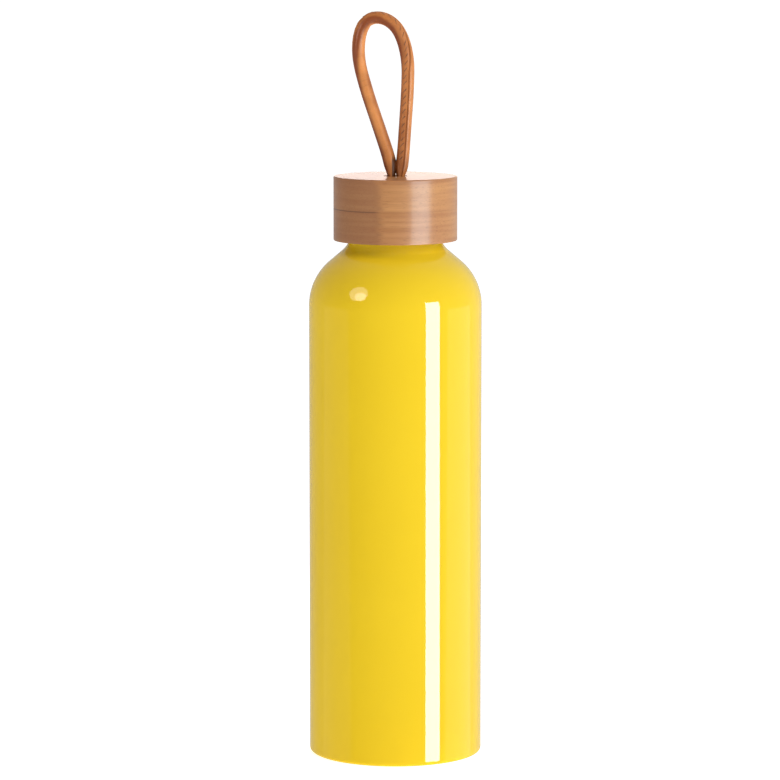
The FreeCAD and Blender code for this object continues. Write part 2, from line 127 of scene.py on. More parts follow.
def add_node(
    tree: bpy.types.NodeTree,
    kind: str,
    settings: Mapping[str, object] | None = None,
    inputs: Mapping[str | int, object] | None = None,
) -> bpy.types.Node:
    """Adds a node with its settings, its values and its links.

    Args:
        tree: The node tree that gets it.
        kind: The node's type name.
        settings: Its own properties.
        inputs: A value or another node's output socket for each input, by name or place.

    Returns:
        The new node.
    """
    made = tree.nodes.new(kind)
    for name, value in (settings or {}).items():
        setattr(made, name, value)
    for name, value in (inputs or {}).items():
        if isinstance(value, bpy.types.NodeSocket):
            tree.links.new(value, made.inputs[name])
        else:
            made.inputs[name].default_value = value
    return made


@dataclass(frozen=True)
class Finish(ABC):
    """A real surface: what it is made of and how it was worked."""

    name: str

    @abstractmethod
    def dress(self, tree: bpy.types.NodeTree, shader: bpy.types.Node) -> None:
        """Sets the shader and adds the nodes that feed it.

        Args:
            tree: The material's node tree.
            shader: Its Principled shader.
        """

    def material(self) -> bpy.types.Material:
        """The material of this finish, made once and then shared.

        Returns:
            The material.
        """
        found = bpy.data.materials.get(self.name)
        if found:
            return found
        made = bpy.data.materials.new(self.name)
        made.use_nodes = True
        self.dress(made.node_tree, made.node_tree.nodes["Principled BSDF"])
        return made

    def put_on(self, piece: bpy.types.Object) -> None:
        """Gives a piece this finish all over."""
        if not piece.material_slots:
            piece.data.materials.append(self.material())
        for slot in piece.material_slots:
            slot.material = self.material()


@dataclass(frozen=True)
class GlossLacquer(Finish):
    """Baked yellow polyurethane, sprayed on steel and flowed out.

    It gives the eye one even colour under a mirror-like clear layer, whose reflections have only
    just wavy edges from the orange peel that spraying leaves.
    """

    colour: str = "#F0CE26"
    shade: str = "#ECC81E"
    cloud: float = 45 * MM
    peel: float = 2.6 * MM

    def dress(self, tree: bpy.types.NodeTree, shader: bpy.types.Node) -> None:
        """Gives the lacquer its faint waves.

        Args:
            tree: The material's nodes.
            shader: Its principled shader.
        """
        position = add_node(tree, "ShaderNodeTexCoord").outputs["Object"]
        cloud = add_node(
            tree,
            "ShaderNodeTexNoise",
            None,
            {"Vector": position, "Scale": 1 / self.cloud, "Detail": 2.0},
        )
        colour = add_node(
            tree,
            "ShaderNodeMix",
            {"data_type": "RGBA"},
            {0: cloud.outputs["Fac"], 6: linear(self.colour), 7: linear(self.shade)},
        )
        rough = add_node(
            tree,
            "ShaderNodeMapRange",
            None,
            {"Value": cloud.outputs["Fac"], "To Min": 0.42, "To Max": 0.5},
        )
        peel = add_node(
            tree,
            "ShaderNodeTexNoise",
            None,
            {"Vector": position, "Scale": 1 / self.peel, "Detail": 1.0},
        )
        bump = add_node(
            tree,
            "ShaderNodeBump",
            None,
            {"Height": peel.outputs["Fac"], "Strength": 0.05, "Distance": 0.02 * MM},
        )
        tree.links.new(colour.outputs[2], shader.inputs["Base Color"])
        tree.links.new(rough.outputs[0], shader.inputs["Roughness"])
        tree.links.new(bump.outputs[0], shader.inputs["Normal"])
        tree.links.new(bump.outputs[0], shader.inputs["Coat Normal"])
        shader.inputs["IOR"].default_value = 1.5
        shader.inputs["Specular IOR Level"].default_value = 0.0  # the clear layer has the gloss
        shader.inputs["Coat Weight"].default_value = 1.0
        shader.inputs["Coat Roughness"].default_value = 0.02
        shader.inputs["Coat IOR"].default_value = 1.5


@dataclass(frozen=True)
class SpunMetal(Finish):
    """Sheet metal that was spun or brushed as it turned.

    It gives the eye fine rings round the axis, which draw a highlight out across them, and slight
    changes of gloss where it was handled.
    """

    colour: str = "#C9C8C4"
    shade: str = "#A9A8A5"
    roughness: tuple[float, float] = (0.22, 0.4)
    line: float = 0.25 * MM
    patch: float = 14 * MM
    depth: float = 0.01 * MM

    def dress(self, tree: bpy.types.NodeTree, shader: bpy.types.Node) -> None:
        """Gives the metal its turning marks.

        Args:
            tree: The material's nodes.
            shader: Its principled shader.
        """
        position = add_node(tree, "ShaderNodeTexCoord").outputs["Object"]
        parts = add_node(tree, "ShaderNodeSeparateXYZ", None, {0: position})
        flat = add_node(
            tree, "ShaderNodeCombineXYZ", None, {"X": parts.outputs["X"], "Y": parts.outputs["Y"]}
        )
        radius = add_node(
            tree,
            "ShaderNodeVectorMath",
            {"operation": "LENGTH"},
            {0: flat.outputs[0]},
        )
        # height plus radius changes across the rings of a wall and of a disc alike
        across = add_node(
            tree,
            "ShaderNodeMath",
            None,
            {0: radius.outputs["Value"], 1: parts.outputs["Z"]},
        )
        lines = add_node(
            tree,
            "ShaderNodeTexNoise",
            {"noise_dimensions": "1D"},
            {"W": across.outputs[0], "Scale": 1 / self.line, "Detail": 3.0, "Roughness": 0.7},
        )
        patch = add_node(
            tree,
            "ShaderNodeTexNoise",
            None,
            {"Vector": position, "Scale": 1 / self.patch, "Detail": 3.0},
        )
        colour = add_node(
            tree,
            "ShaderNodeMix",
            {"data_type": "RGBA"},
            {0: lines.outputs["Fac"], 6: linear(self.colour), 7: linear(self.shade)},
        )
        rough = add_node(
            tree,
            "ShaderNodeMapRange",
            None,
            {
                "Value": patch.outputs["Fac"],
                "From Min": 0.3,
                "From Max": 0.7,
                "To Min": self.roughness[0],
                "To Max": self.roughness[1],
            },
        )
        bump = add_node(
            tree,
            "ShaderNodeBump",
            None,
            {"Height": lines.outputs["Fac"], "Strength": 0.5, "Distance": self.depth},
        )
        tree.links.new(colour.outputs[2], shader.inputs["Base Color"])
        tree.links.new(rough.outputs[0], shader.inputs["Roughness"])
        tree.links.new(bump.outputs[0], shader.inputs["Normal"])
        shader.inputs["Metallic"].default_value = 1.0


@dataclass(frozen=True)
class LaminatedBamboo(Finish):
    """Carbonised bamboo strips, glued in layers, turned on a lathe, sanded and clear-varnished.

    It gives the eye long level fibres in warm tan bands, thin darker glue lines between the
    layers, the fibres' cut ends as dots on the two sides that lie across the grain, and painted
    shade on one side, where the wood is darker and the glue lines show more.
    """

    pale: str = "#C68D52"
    tan: str = "#AE733F"
    fibre_and_shade: str = "#8A5630"
    glue: str = "#5F3A20"
    layer: float = 14 * MM
    first_layer: float = 196.05 * MM
    glue_width: float = 0.35 * MM  # wider than the real film of glue, so that it shows
    strand: float = 0.35 * MM
    band: float = 2.0 * MM
    # painted shade: where the darker side of the lid starts, how soft its edge is and how far it wanders
    shade_edge: float = -4 * MM
    shade_fade: float = 4 * MM
    shade_wander: float = 8 * MM
    length: float = 60 * MM
    layer_tone: float = 0.35  # how much each layer has a tone of its own
    layer_shift: float = 37 * MM
    tight: float = 0.08  # how much of the glue shows everywhere
    glue_in_shade: float = 1.3  # and how much more of it shows in the painted shade

    def dress(self, tree: bpy.types.NodeTree, shader: bpy.types.Node) -> None:
        """Lays down the layers, their glue and their fibres.

        Args:
            tree: The material's nodes.
            shader: Its principled shader.
        """
        position = add_node(tree, "ShaderNodeTexCoord").outputs["Object"]
        parts = add_node(tree, "ShaderNodeSeparateXYZ", None, {0: position})
        # which layer, and how far from the glue line above or below it
        lifted = add_node(
            tree,
            "ShaderNodeMath",
            {"operation": "SUBTRACT"},
            {0: parts.outputs["Z"], 1: self.first_layer},
        )
        layers = add_node(
            tree, "ShaderNodeMath", {"operation": "DIVIDE"}, {0: lifted.outputs[0], 1: self.layer}
        )
        which = add_node(tree, "ShaderNodeMath", {"operation": "ROUND"}, {0: layers.outputs[0]})
        own = add_node(tree, "ShaderNodeMath", {"operation": "FLOOR"}, {0: layers.outputs[0]})
        apart = add_node(
            tree,
            "ShaderNodeMath",
            {"operation": "SUBTRACT"},
            {0: layers.outputs[0], 1: which.outputs[0]},
        )
        near = add_node(tree, "ShaderNodeMath", {"operation": "ABSOLUTE"}, {0: apart.outputs[0]})
        glue = add_node(
            tree,
            "ShaderNodeMapRange",
            {"interpolation_type": "SMOOTHSTEP"},
            {
                "Value": near.outputs[0],
                "From Min": 0.0,
                "From Max": self.glue_width / self.layer,
                "To Min": 1.0,
                "To Max": 0.0,
            },
        )
        tone = add_node(
            tree, "ShaderNodeTexWhiteNoise", {"noise_dimensions": "1D"}, {"W": own.outputs[0]}
        )
        # fibres run along X; each layer's pattern is shifted so that it is its own strip
        shift = add_node(
            tree, "ShaderNodeMath", {"operation": "MULTIPLY"}, {0: own.outputs[0], 1: self.layer_shift}
        )
        shifted = add_node(
            tree, "ShaderNodeCombineXYZ", None, {"X": shift.outputs[0], "Y": shift.outputs[0]}
        )
        moved = add_node(tree, "ShaderNodeVectorMath", None, {0: position, 1: shifted.outputs[0]})
        fine = add_node(
            tree,
            "ShaderNodeMapping",
            None,
            {
                "Vector": moved.outputs[0],
                "Scale": per(self.length / 2, self.strand * 1.6, self.strand),
            },
        )
        strands = add_node(
            tree,
            "ShaderNodeTexNoise",
            None,
            {"Vector": fine.outputs[0], "Scale": 1.0, "Detail": 3.0, "Roughness": 0.65},
        )
        broad = add_node(
            tree,
            "ShaderNodeMapping",
            None,
            {"Vector": moved.outputs[0], "Scale": per(self.length, self.length / 2, self.band)},
        )
        bands = add_node(
            tree,
            "ShaderNodeTexNoise",
            None,
            {"Vector": broad.outputs[0], "Scale": 1.0, "Detail": 1.5},
        )
        spread = add_node(
            tree,
            "ShaderNodeMapRange",
            None,
            {"Value": bands.outputs["Fac"], "From Min": 0.32, "From Max": 0.68},
        )
        mixed = add_node(
            tree,
            "ShaderNodeMath",
            {"operation": "MULTIPLY_ADD"},
            {0: tone.outputs["Value"], 1: self.layer_tone, 2: spread.outputs[0]},
        )
        wood = add_node(
            tree,
            "ShaderNodeMix",
            {"data_type": "RGBA"},
            {0: mixed.outputs[0], 6: linear(self.pale), 7: linear(self.tan)},
        )
        streak = add_node(
            tree,
            "ShaderNodeMapRange",
            {"interpolation_type": "SMOOTHSTEP"},
            {"Value": strands.outputs["Fac"], "From Min": 0.5, "From Max": 0.76, "To Max": 0.6},
        )
        streaked = add_node(
            tree,
            "ShaderNodeMix",
            {"data_type": "RGBA"},
            {0: streak.outputs[0], 6: wood.outputs[2], 7: linear(self.fibre_and_shade)},
        )
        # painted shade: on one side of the lid the wood is darker and its glue lines show more
        edge = add_node(
            tree,
            "ShaderNodeMath",
            {"operation": "MULTIPLY_ADD"},
            {0: bands.outputs["Fac"], 1: self.shade_wander, 2: parts.outputs["X"]},
        )
        # the painted shade's mask
        strip = add_node(
            tree,
            "ShaderNodeMapRange",
            {"interpolation_type": "SMOOTHSTEP"},
            {
                "Value": edge.outputs[0],
                "From Min": self.shade_edge,
                "From Max": self.shade_edge + self.shade_fade,
                "To Min": 0.56,
                "To Max": 0.0,
            },
        )
        shaded_wood = add_node(
            tree,
            "ShaderNodeMix",
            {"data_type": "RGBA"},
            {0: strip.outputs[0], 6: streaked.outputs[2], 7: linear(self.fibre_and_shade)},
        )
        glue_in_shade = add_node(
            tree,
            "ShaderNodeMath",
            {"operation": "MULTIPLY_ADD"},
            {0: strip.outputs[0], 1: self.glue_in_shade, 2: self.tight},
        )
        shown = add_node(
            tree,
            "ShaderNodeMath",
            {"operation": "MULTIPLY"},
            {0: glue.outputs[0], 1: glue_in_shade.outputs[0]},
        )
        glued = add_node(
            tree,
            "ShaderNodeMix",
            {"data_type": "RGBA"},
            {0: shown.outputs[0], 6: shaded_wood.outputs[2], 7: linear(self.glue)},
        )
        rough = add_node(
            tree,
            "ShaderNodeMapRange",
            None,
            {"Value": strands.outputs["Fac"], "To Min": 0.4, "To Max": 0.58},
        )
        bump = add_node(
            tree,
            "ShaderNodeBump",
            None,
            {"Height": strands.outputs["Fac"], "Strength": 0.25, "Distance": 0.05 * MM},
        )
        tree.links.new(glued.outputs[2], shader.inputs["Base Color"])
        tree.links.new(rough.outputs[0], shader.inputs["Roughness"])
        tree.links.new(bump.outputs[0], shader.inputs["Normal"])
        shader.inputs["IOR"].default_value = 1.5
        shader.inputs["Coat Weight"].default_value = 0.6
        shader.inputs["Coat Roughness"].default_value = 0.24


@dataclass(frozen=True)
class MouldedPlastic(Finish):
    """Moulded plastic or rubber, whose mould was spark-eroded or blasted.

    It gives the eye a soft, slightly see-through body colour and an even, very fine grain.
    """

    colour: str = "#E9E5DA"
    shade: str = "#DDD8CB"
    grain: float = 0.3 * MM
    cloud: float = 12 * MM
    roughness: tuple[float, float] = (0.36, 0.48)
    depth: float = 0.02 * MM
    translucency: float = 0.15
    reach: float = 1.2 * MM
    ior: float = 1.49

    def dress(self, tree: bpy.types.NodeTree, shader: bpy.types.Node) -> None:
        """Gives the plastic its moulded grain.

        Args:
            tree: The material's nodes.
            shader: Its principled shader.
        """
        position = add_node(tree, "ShaderNodeTexCoord").outputs["Object"]
        grain = add_node(
            tree,
            "ShaderNodeTexNoise",
            None,
            {"Vector": position, "Scale": 1 / self.grain, "Detail": 2.0},
        )
        cloud = add_node(
            tree,
            "ShaderNodeTexNoise",
            None,
            {"Vector": position, "Scale": 1 / self.cloud, "Detail": 3.0},
        )
        colour = add_node(
            tree,
            "ShaderNodeMix",
            {"data_type": "RGBA"},
            {0: cloud.outputs["Fac"], 6: linear(self.colour), 7: linear(self.shade)},
        )
        rough = add_node(
            tree,
            "ShaderNodeMapRange",
            None,
            {
                "Value": grain.outputs["Fac"],
                "From Min": 0.3,
                "From Max": 0.7,
                "To Min": self.roughness[0],
                "To Max": self.roughness[1],
            },
        )
        bump = add_node(
            tree,
            "ShaderNodeBump",
            None,
            {"Height": grain.outputs["Fac"], "Strength": 0.4, "Distance": self.depth},
        )
        tree.links.new(colour.outputs[2], shader.inputs["Base Color"])
        tree.links.new(rough.outputs[0], shader.inputs["Roughness"])
        tree.links.new(bump.outputs[0], shader.inputs["Normal"])
        shader.inputs["IOR"].default_value = self.ior
        shader.inputs["Subsurface Weight"].default_value = self.translucency
        shader.inputs["Subsurface Radius"].default_value = (1.0, 0.9, 0.8)
        shader.inputs["Subsurface Scale"].default_value = self.reach


@dataclass(frozen=True)
class WaxedLeather(Finish):
    """Vegetable-tanned cowhide, split thin, rolled round a filler, waxed and rubbed smooth.

    It gives the eye a warm tan, painted shade in its pores and fine creases, dark burnished cut edges,
    painted dark rims and a painted light streak round its girth, and painted shade near the lid and
    between the legs, under a soft wax sheen. Its UV map is in metres: U goes round from the seam and
    back to it, V along the loop.
    """

    girth: float
    tan: str = "#E39551"
    # the colour that the painted shade round the girth darkens to
    deep: str = "#8A451E"
    # the colour of the painted shade in the pores and creases
    pore: str = "#6E3D1E"
    # the burnished edges' colour, also used for the painted shade near the lid
    edge: str = "#7A431F"
    # painted shade and painted highlight: how dark the leather is painted, at shares of the girth, for
    # dark rims and a light streak
    painted_light_and_shade: Table = (
        (0.0, 0.35),
        (0.1, 0.1),
        (0.22, 0.5),
        (0.34, 0.3),
        (0.45, 0.0),
        (0.54, 0.4),
        (0.61, 0.85),
        (0.68, 1.0),
        (0.8, 0.5),
        (1.0, 0.35),
    )
    cell: float = 0.55 * MM
    cloud: float = 5 * MM
    crease: float = 0.7 * MM
    edge_width: float = 0.45 * MM
    # painted shade between the legs: its colour, and where, how wide and how high it is
    crotch_shade: str = "#2C1810"
    crotch_shade_at: float = -0.6 * MM
    crotch_shade_width: float = 1.4 * MM
    crotch_shade_top: float = 229.5 * MM
    # painted shade near the lid, fading out from the lower height up to the upper one
    lid_shade_top: float = 230 * MM
    lid_shade_bottom: float = 221 * MM
    mottle: float = 0.25  # how much the tone changes from cloud to cloud
    fold: float = 0.8  # how deep a crease is, as a share of the deepest pore

    def dress(self, tree: bpy.types.NodeTree, shader: bpy.types.Node) -> None:
        """Lays down the hide, its pores and creases, and its dark edges.

        Args:
            tree: The material's nodes.
            shader: Its principled shader.
        """
        coordinates = add_node(tree, "ShaderNodeTexCoord")
        position, surface = coordinates.outputs["Object"], coordinates.outputs["UV"]
        round_and_along = add_node(tree, "ShaderNodeSeparateXYZ", None, {0: surface})
        cloud = add_node(
            tree,
            "ShaderNodeTexNoise",
            None,
            {"Vector": position, "Scale": 1 / self.cloud, "Detail": 4.0},
        )
        pores = add_node(
            tree,
            "ShaderNodeTexVoronoi",
            {"feature": "SMOOTH_F1"},
            {"Vector": position, "Scale": 1 / self.cell, "Smoothness": 0.3},
        )
        stretched = add_node(
            tree,
            "ShaderNodeMapping",
            None,
            {"Vector": surface, "Scale": per(self.crease * 6, self.crease, 1.0)},
        )
        creases = add_node(
            tree,
            "ShaderNodeTexNoise",
            None,
            {"Vector": stretched.outputs[0], "Scale": 1.0, "Detail": 3.0, "Distortion": 0.6},
        )
        spread = add_node(
            tree,
            "ShaderNodeMapRange",
            None,
            {"Value": cloud.outputs["Fac"], "From Min": 0.35, "From Max": 0.65},
        )
        # painted shade and painted highlight across the strip's width, from the seam and round to it
        share = add_node(
            tree,
            "ShaderNodeMath",
            {"operation": "DIVIDE"},
            {0: round_and_along.outputs["X"], 1: self.girth},
        )
        tone = add_node(tree, "ShaderNodeFloatCurve", None, {"Value": share.outputs[0]})
        curve = tone.mapping.curves[0]
        curve.points[0].location, curve.points[-1].location = self.painted_light_and_shade[0], self.painted_light_and_shade[-1]
        for across, depth in self.painted_light_and_shade[1:-1]:
            curve.points.new(across, depth)
        tone.mapping.update()
        clouded = add_node(
            tree,
            "ShaderNodeMath",
            {"operation": "MULTIPLY_ADD"},
            {0: spread.outputs[0], 1: self.mottle, 2: tone.outputs[0]},
        )
        hide = add_node(
            tree,
            "ShaderNodeMix",
            {"data_type": "RGBA"},
            {0: clouded.outputs[0], 6: linear(self.tan), 7: linear(self.deep)},
        )
        # painted shade: darker in the pores and in the fine creases
        pitted = add_node(
            tree,
            "ShaderNodeMapRange",
            {"interpolation_type": "SMOOTHSTEP"},
            {
                "Value": pores.outputs["Distance"],
                "From Min": 0.0,
                "From Max": 0.3,
                "To Min": 0.35,
                "To Max": 0.0,
            },
        )
        pored = add_node(
            tree,
            "ShaderNodeMix",
            {"data_type": "RGBA"},
            {0: pitted.outputs[0], 6: hide.outputs[2], 7: linear(self.pore)},
        )
        folded = add_node(
            tree,
            "ShaderNodeMapRange",
            {"interpolation_type": "SMOOTHSTEP"},
            {"Value": creases.outputs["Fac"], "From Min": 0.58, "From Max": 0.76, "To Max": 0.16},
        )
        creased = add_node(
            tree,
            "ShaderNodeMix",
            {"data_type": "RGBA"},
            {0: folded.outputs[0], 6: pored.outputs[2], 7: linear(self.pore)},
        )
        # how far from the cut edges, which meet at U = 0 and at U = girth
        back = add_node(
            tree,
            "ShaderNodeMath",
            {"operation": "SUBTRACT"},
            {0: self.girth, 1: round_and_along.outputs["X"]},
        )
        edge = add_node(
            tree,
            "ShaderNodeMath",
            {"operation": "MINIMUM"},
            {0: back.outputs[0], 1: round_and_along.outputs["X"]},
        )
        burnish = add_node(
            tree,
            "ShaderNodeMapRange",
            {"interpolation_type": "SMOOTHSTEP"},
            {
                "Value": edge.outputs[0],
                "From Min": 0.0,
                "From Max": self.edge_width,
                "To Min": 0.6,
                "To Max": 0.0,
            },
        )
        burnished = add_node(
            tree,
            "ShaderNodeMix",
            {"data_type": "RGBA"},
            {0: burnish.outputs[0], 6: creased.outputs[2], 7: linear(self.edge)},
        )
        height = add_node(tree, "ShaderNodeSeparateXYZ", None, {0: position})
        # painted shade: darker towards the lid, where the legs go into its hole
        lid_shade = add_node(
            tree,
            "ShaderNodeMapRange",
            {"interpolation_type": "SMOOTHSTEP"},
            {
                "Value": height.outputs["Z"],
                "From Min": self.lid_shade_bottom,
                "From Max": self.lid_shade_top,
                "To Min": 0.3,
                "To Max": 0.0,
            },
        )
        rubbed = add_node(
            tree,
            "ShaderNodeMix",
            {"data_type": "RGBA"},
            {0: lid_shade.outputs[0], 6: burnished.outputs[2], 7: linear(self.edge)},
        )
        # painted shade: just above the lid, between the two legs, the leather is painted nearly black
        aside = add_node(
            tree,
            "ShaderNodeMath",
            {"operation": "SUBTRACT"},
            {0: height.outputs["X"], 1: self.crotch_shade_at},
        )
        apart = add_node(tree, "ShaderNodeMath", {"operation": "ABSOLUTE"}, {0: aside.outputs[0]})
        close = add_node(
            tree,
            "ShaderNodeMapRange",
            {"interpolation_type": "SMOOTHSTEP"},
            {
                "Value": apart.outputs[0],
                "From Min": self.crotch_shade_width * 0.35,
                "From Max": self.crotch_shade_width * 0.65,
                "To Min": 0.85,
                "To Max": 0.0,
            },
        )
        low = add_node(
            tree,
            "ShaderNodeMapRange",
            {"interpolation_type": "SMOOTHSTEP"},
            {
                "Value": height.outputs["Z"],
                "From Min": self.crotch_shade_top - self.crotch_shade_width,
                "From Max": self.crotch_shade_top + self.crotch_shade_width,
                "To Min": 1.0,
                "To Max": 0.0,
            },
        )
        crotch_shadow = add_node(
            tree, "ShaderNodeMath", {"operation": "MULTIPLY"}, {0: close.outputs[0], 1: low.outputs[0]}
        )
        darkened = add_node(
            tree,
            "ShaderNodeMix",
            {"data_type": "RGBA"},
            {0: crotch_shadow.outputs[0], 6: rubbed.outputs[2], 7: linear(self.crotch_shade)},
        )
        rough = add_node(
            tree,
            "ShaderNodeMapRange",
            None,
            {"Value": cloud.outputs["Fac"], "To Min": 0.34, "To Max": 0.54},
        )
        relief = add_node(
            tree,
            "ShaderNodeMath",
            {"operation": "MULTIPLY_ADD"},
            {0: creases.outputs["Fac"], 1: -self.fold, 2: pores.outputs["Distance"]},
        )
        bump = add_node(
            tree,
            "ShaderNodeBump",
            None,
            {"Height": relief.outputs[0], "Strength": 0.5, "Distance": 0.06 * MM},
        )
        tree.links.new(darkened.outputs[2], shader.inputs["Base Color"])
        tree.links.new(rough.outputs[0], shader.inputs["Roughness"])
        tree.links.new(bump.outputs[0], shader.inputs["Normal"])
        shader.inputs["IOR"].default_value = 1.45
        shader.inputs["Specular IOR Level"].default_value = 0.25
        shader.inputs["Coat Weight"].default_value = 0.4
        shader.inputs["Coat Roughness"].default_value = 0.28


@dataclass(frozen=True)
class SewingThread(Finish):
    """Waxed polyester thread, twisted from three plies.

    It gives the eye slanting ribs of dark brown, with painted shade between them and a painted highlight
    on their crowns.
    """

    colour: str = "#8A5732"
    shade: str = "#57301A"
    ply: float = 0.28 * MM

    def dress(self, tree: bpy.types.NodeTree, shader: bpy.types.Node) -> None:
        """Gives the thread its twist.

        Args:
            tree: The material's nodes.
            shader: Its principled shader.
        """
        position = add_node(tree, "ShaderNodeTexCoord").outputs["Object"]
        ribs = add_node(
            tree,
            "ShaderNodeTexWave",
            {"bands_direction": "DIAGONAL"},
            {"Vector": position, "Scale": 1 / (20 * self.ply), "Distortion": 1.5, "Detail": 1.0},
        )
        # painted shade in the grooves between the ribs, painted highlight on their crowns
        colour = add_node(
            tree,
            "ShaderNodeMix",
            {"data_type": "RGBA"},
            {0: ribs.outputs["Fac"], 6: linear(self.shade), 7: linear(self.colour)},
        )
        bump = add_node(
            tree,
            "ShaderNodeBump",
            None,
            {"Height": ribs.outputs["Fac"], "Strength": 0.6, "Distance": 0.05 * MM},
        )
        tree.links.new(colour.outputs[2], shader.inputs["Base Color"])
        tree.links.new(bump.outputs[0], shader.inputs["Normal"])
        shader.inputs["Roughness"].default_value = 0.55
        shader.inputs["Sheen Weight"].default_value = 0.2


@dataclass(frozen=True)
class OpalTable(Finish):
    """A sheet of white opal acrylic, lit softly from below.

    It gives the eye an even pale ground on which a shadow hardly shows.
    """

    colour: str = "#F4F4F3"
    glow: float = 0.76
    cloud: float = 300 * MM

    def dress(self, tree: bpy.types.NodeTree, shader: bpy.types.Node) -> None:
        """Makes the table glow to the camera as white as the room.

        Args:
            tree: The material's nodes.
            shader: Its principled shader.
        """
        position = add_node(tree, "ShaderNodeTexCoord").outputs["Object"]
        cloud = add_node(
            tree,
            "ShaderNodeTexNoise",
            None,
            {"Vector": position, "Scale": 1 / self.cloud, "Detail": 1.0},
        )
        rough = add_node(
            tree,
            "ShaderNodeMapRange",
            None,
            {"Value": cloud.outputs["Fac"], "To Min": 0.75, "To Max": 0.85},
        )
        tree.links.new(rough.outputs[0], shader.inputs["Roughness"])
        shader.inputs["Base Color"].default_value = linear(self.colour)
        shader.inputs["Specular IOR Level"].default_value = 0.1
        shader.inputs["Emission Color"].default_value = linear("#FFFFFF")
        shader.inputs["Emission Strength"].default_value = self.glow


# ---- turning and placing --------------------------------------------------------------------


class Outline:
    """The outline of a turned part, drawn in the XZ plane from point to point."""

    def __init__(self, radius: float, height: float) -> None:
        """Starts the outline.

        Args:
            radius: The first point's distance from the axis.
            height: The first point's height.
        """
        self.mesh = bmesh.new()
        self.first = self.last = self.mesh.verts.new((radius, 0.0, height))
        self.corners: list[tuple[bmesh.types.BMVert, float]] = []

    def to(self, radius: float, height: float, rounding: float = 0.0) -> Outline:
        """Draws a straight line.

        Args:
            radius: Where it ends, from the axis.
            height: Where it ends, above the floor.
            rounding: The radius that the corner there gets, if it is square.

        Returns:
            The outline.
        """
        drawn = bmesh.ops.extrude_vert_indiv(self.mesh, verts=[self.last])["verts"]
        bmesh.ops.translate(self.mesh, verts=drawn, vec=Vector((radius, 0.0, height)) - self.last.co)
        self.last = drawn[0]
        if rounding:
            self.corners.append((self.last, rounding))
        return self

    def about(self, radius: float, height: float, angle: float, steps: int = 8) -> Outline:
        """Draws an arc about a centre.

        Args:
            radius: The centre's distance from the axis.
            height: The centre's height.
            angle: How far the arc turns, in degrees, from outwards to upwards.
            steps: How many lines it is drawn with.

        Returns:
            The outline.
        """
        drawn = bmesh.ops.spin(
            self.mesh,
            geom=[self.last],
            cent=(radius, 0.0, height),
            axis=(0.0, -1.0, 0.0),
            angle=radians(angle),
            steps=steps,
        )
        self.last = drawn["geom_last"][0]
        return self

    def turned(self, close: bool = True, steps: int = 144) -> bmesh.types.BMesh:
        """Rounds the corners and turns the outline once about Z.

        Args:
            close: Whether a line joins the last point to the first.
            steps: How many facets go round.

        Returns:
            The mesh, with its poles closed and its faces outwards.
        """
        mesh = self.mesh
        if close:
            mesh.edges.new((self.last, self.first))
        for corner, rounding in self.corners:
            bmesh.ops.bevel(
                mesh,
                geom=[corner],
                offset=rounding,
                offset_type="OFFSET",
                segments=4,
                profile=0.5,
                affect="VERTICES",
                material=-1,
            )
        bmesh.ops.spin(
            mesh,
            geom=mesh.verts[:] + mesh.edges[:],
            cent=(0.0, 0.0, 0.0),
            axis=(0.0, 0.0, 1.0),
            angle=2 * pi,
            steps=steps,
            use_merge=True,
        )
        bmesh.ops.remove_doubles(mesh, verts=mesh.verts[:], dist=MERGE)
        bmesh.ops.recalc_face_normals(mesh, faces=mesh.faces[:])
        return mesh


def finished(mesh: bmesh.types.BMesh, name: str) -> bpy.types.Object:
    """Makes the object of a mesh: smooth, with crisp edges where it turns sharply.

    Args:
        mesh: The mesh, which is used up.
        name: The piece's name.

    Returns:
        The piece, at the origin.
    """
    for face in mesh.faces:
        face.smooth = True
    for edge in mesh.edges:
        edge.smooth = edge.calc_face_angle(0.0) < SHARP
    data = bpy.data.meshes.new(name)
    mesh.to_mesh(data)
    mesh.free()
    piece = bpy.data.objects.new(name, data)
    bpy.context.scene.collection.objects.link(piece)
    weighted = piece.modifiers.new("even_shading", "WEIGHTED_NORMAL")
    weighted.keep_sharp = True
    return piece


def place(
    piece: bpy.types.Object, finish: Finish, body: Body | None, nodes: Sequence[str]
) -> bpy.types.Object:
    """Dresses a piece, says what it stands for and what it rides on, and reports it.

    Args:
        piece: The piece.
        finish: Its finish.
        body: The body that it rides on, or None to leave it on none.
        nodes: The CAD nodes that it stands for.

    Returns:
        The piece.
    """
    finish.put_on(piece)
    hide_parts(*nodes)
    if body:
        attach(piece, body.value)
    LOG.info("%s: %d faces, %s", piece.name, len(piece.data.polygons), finish.name)
    return piece


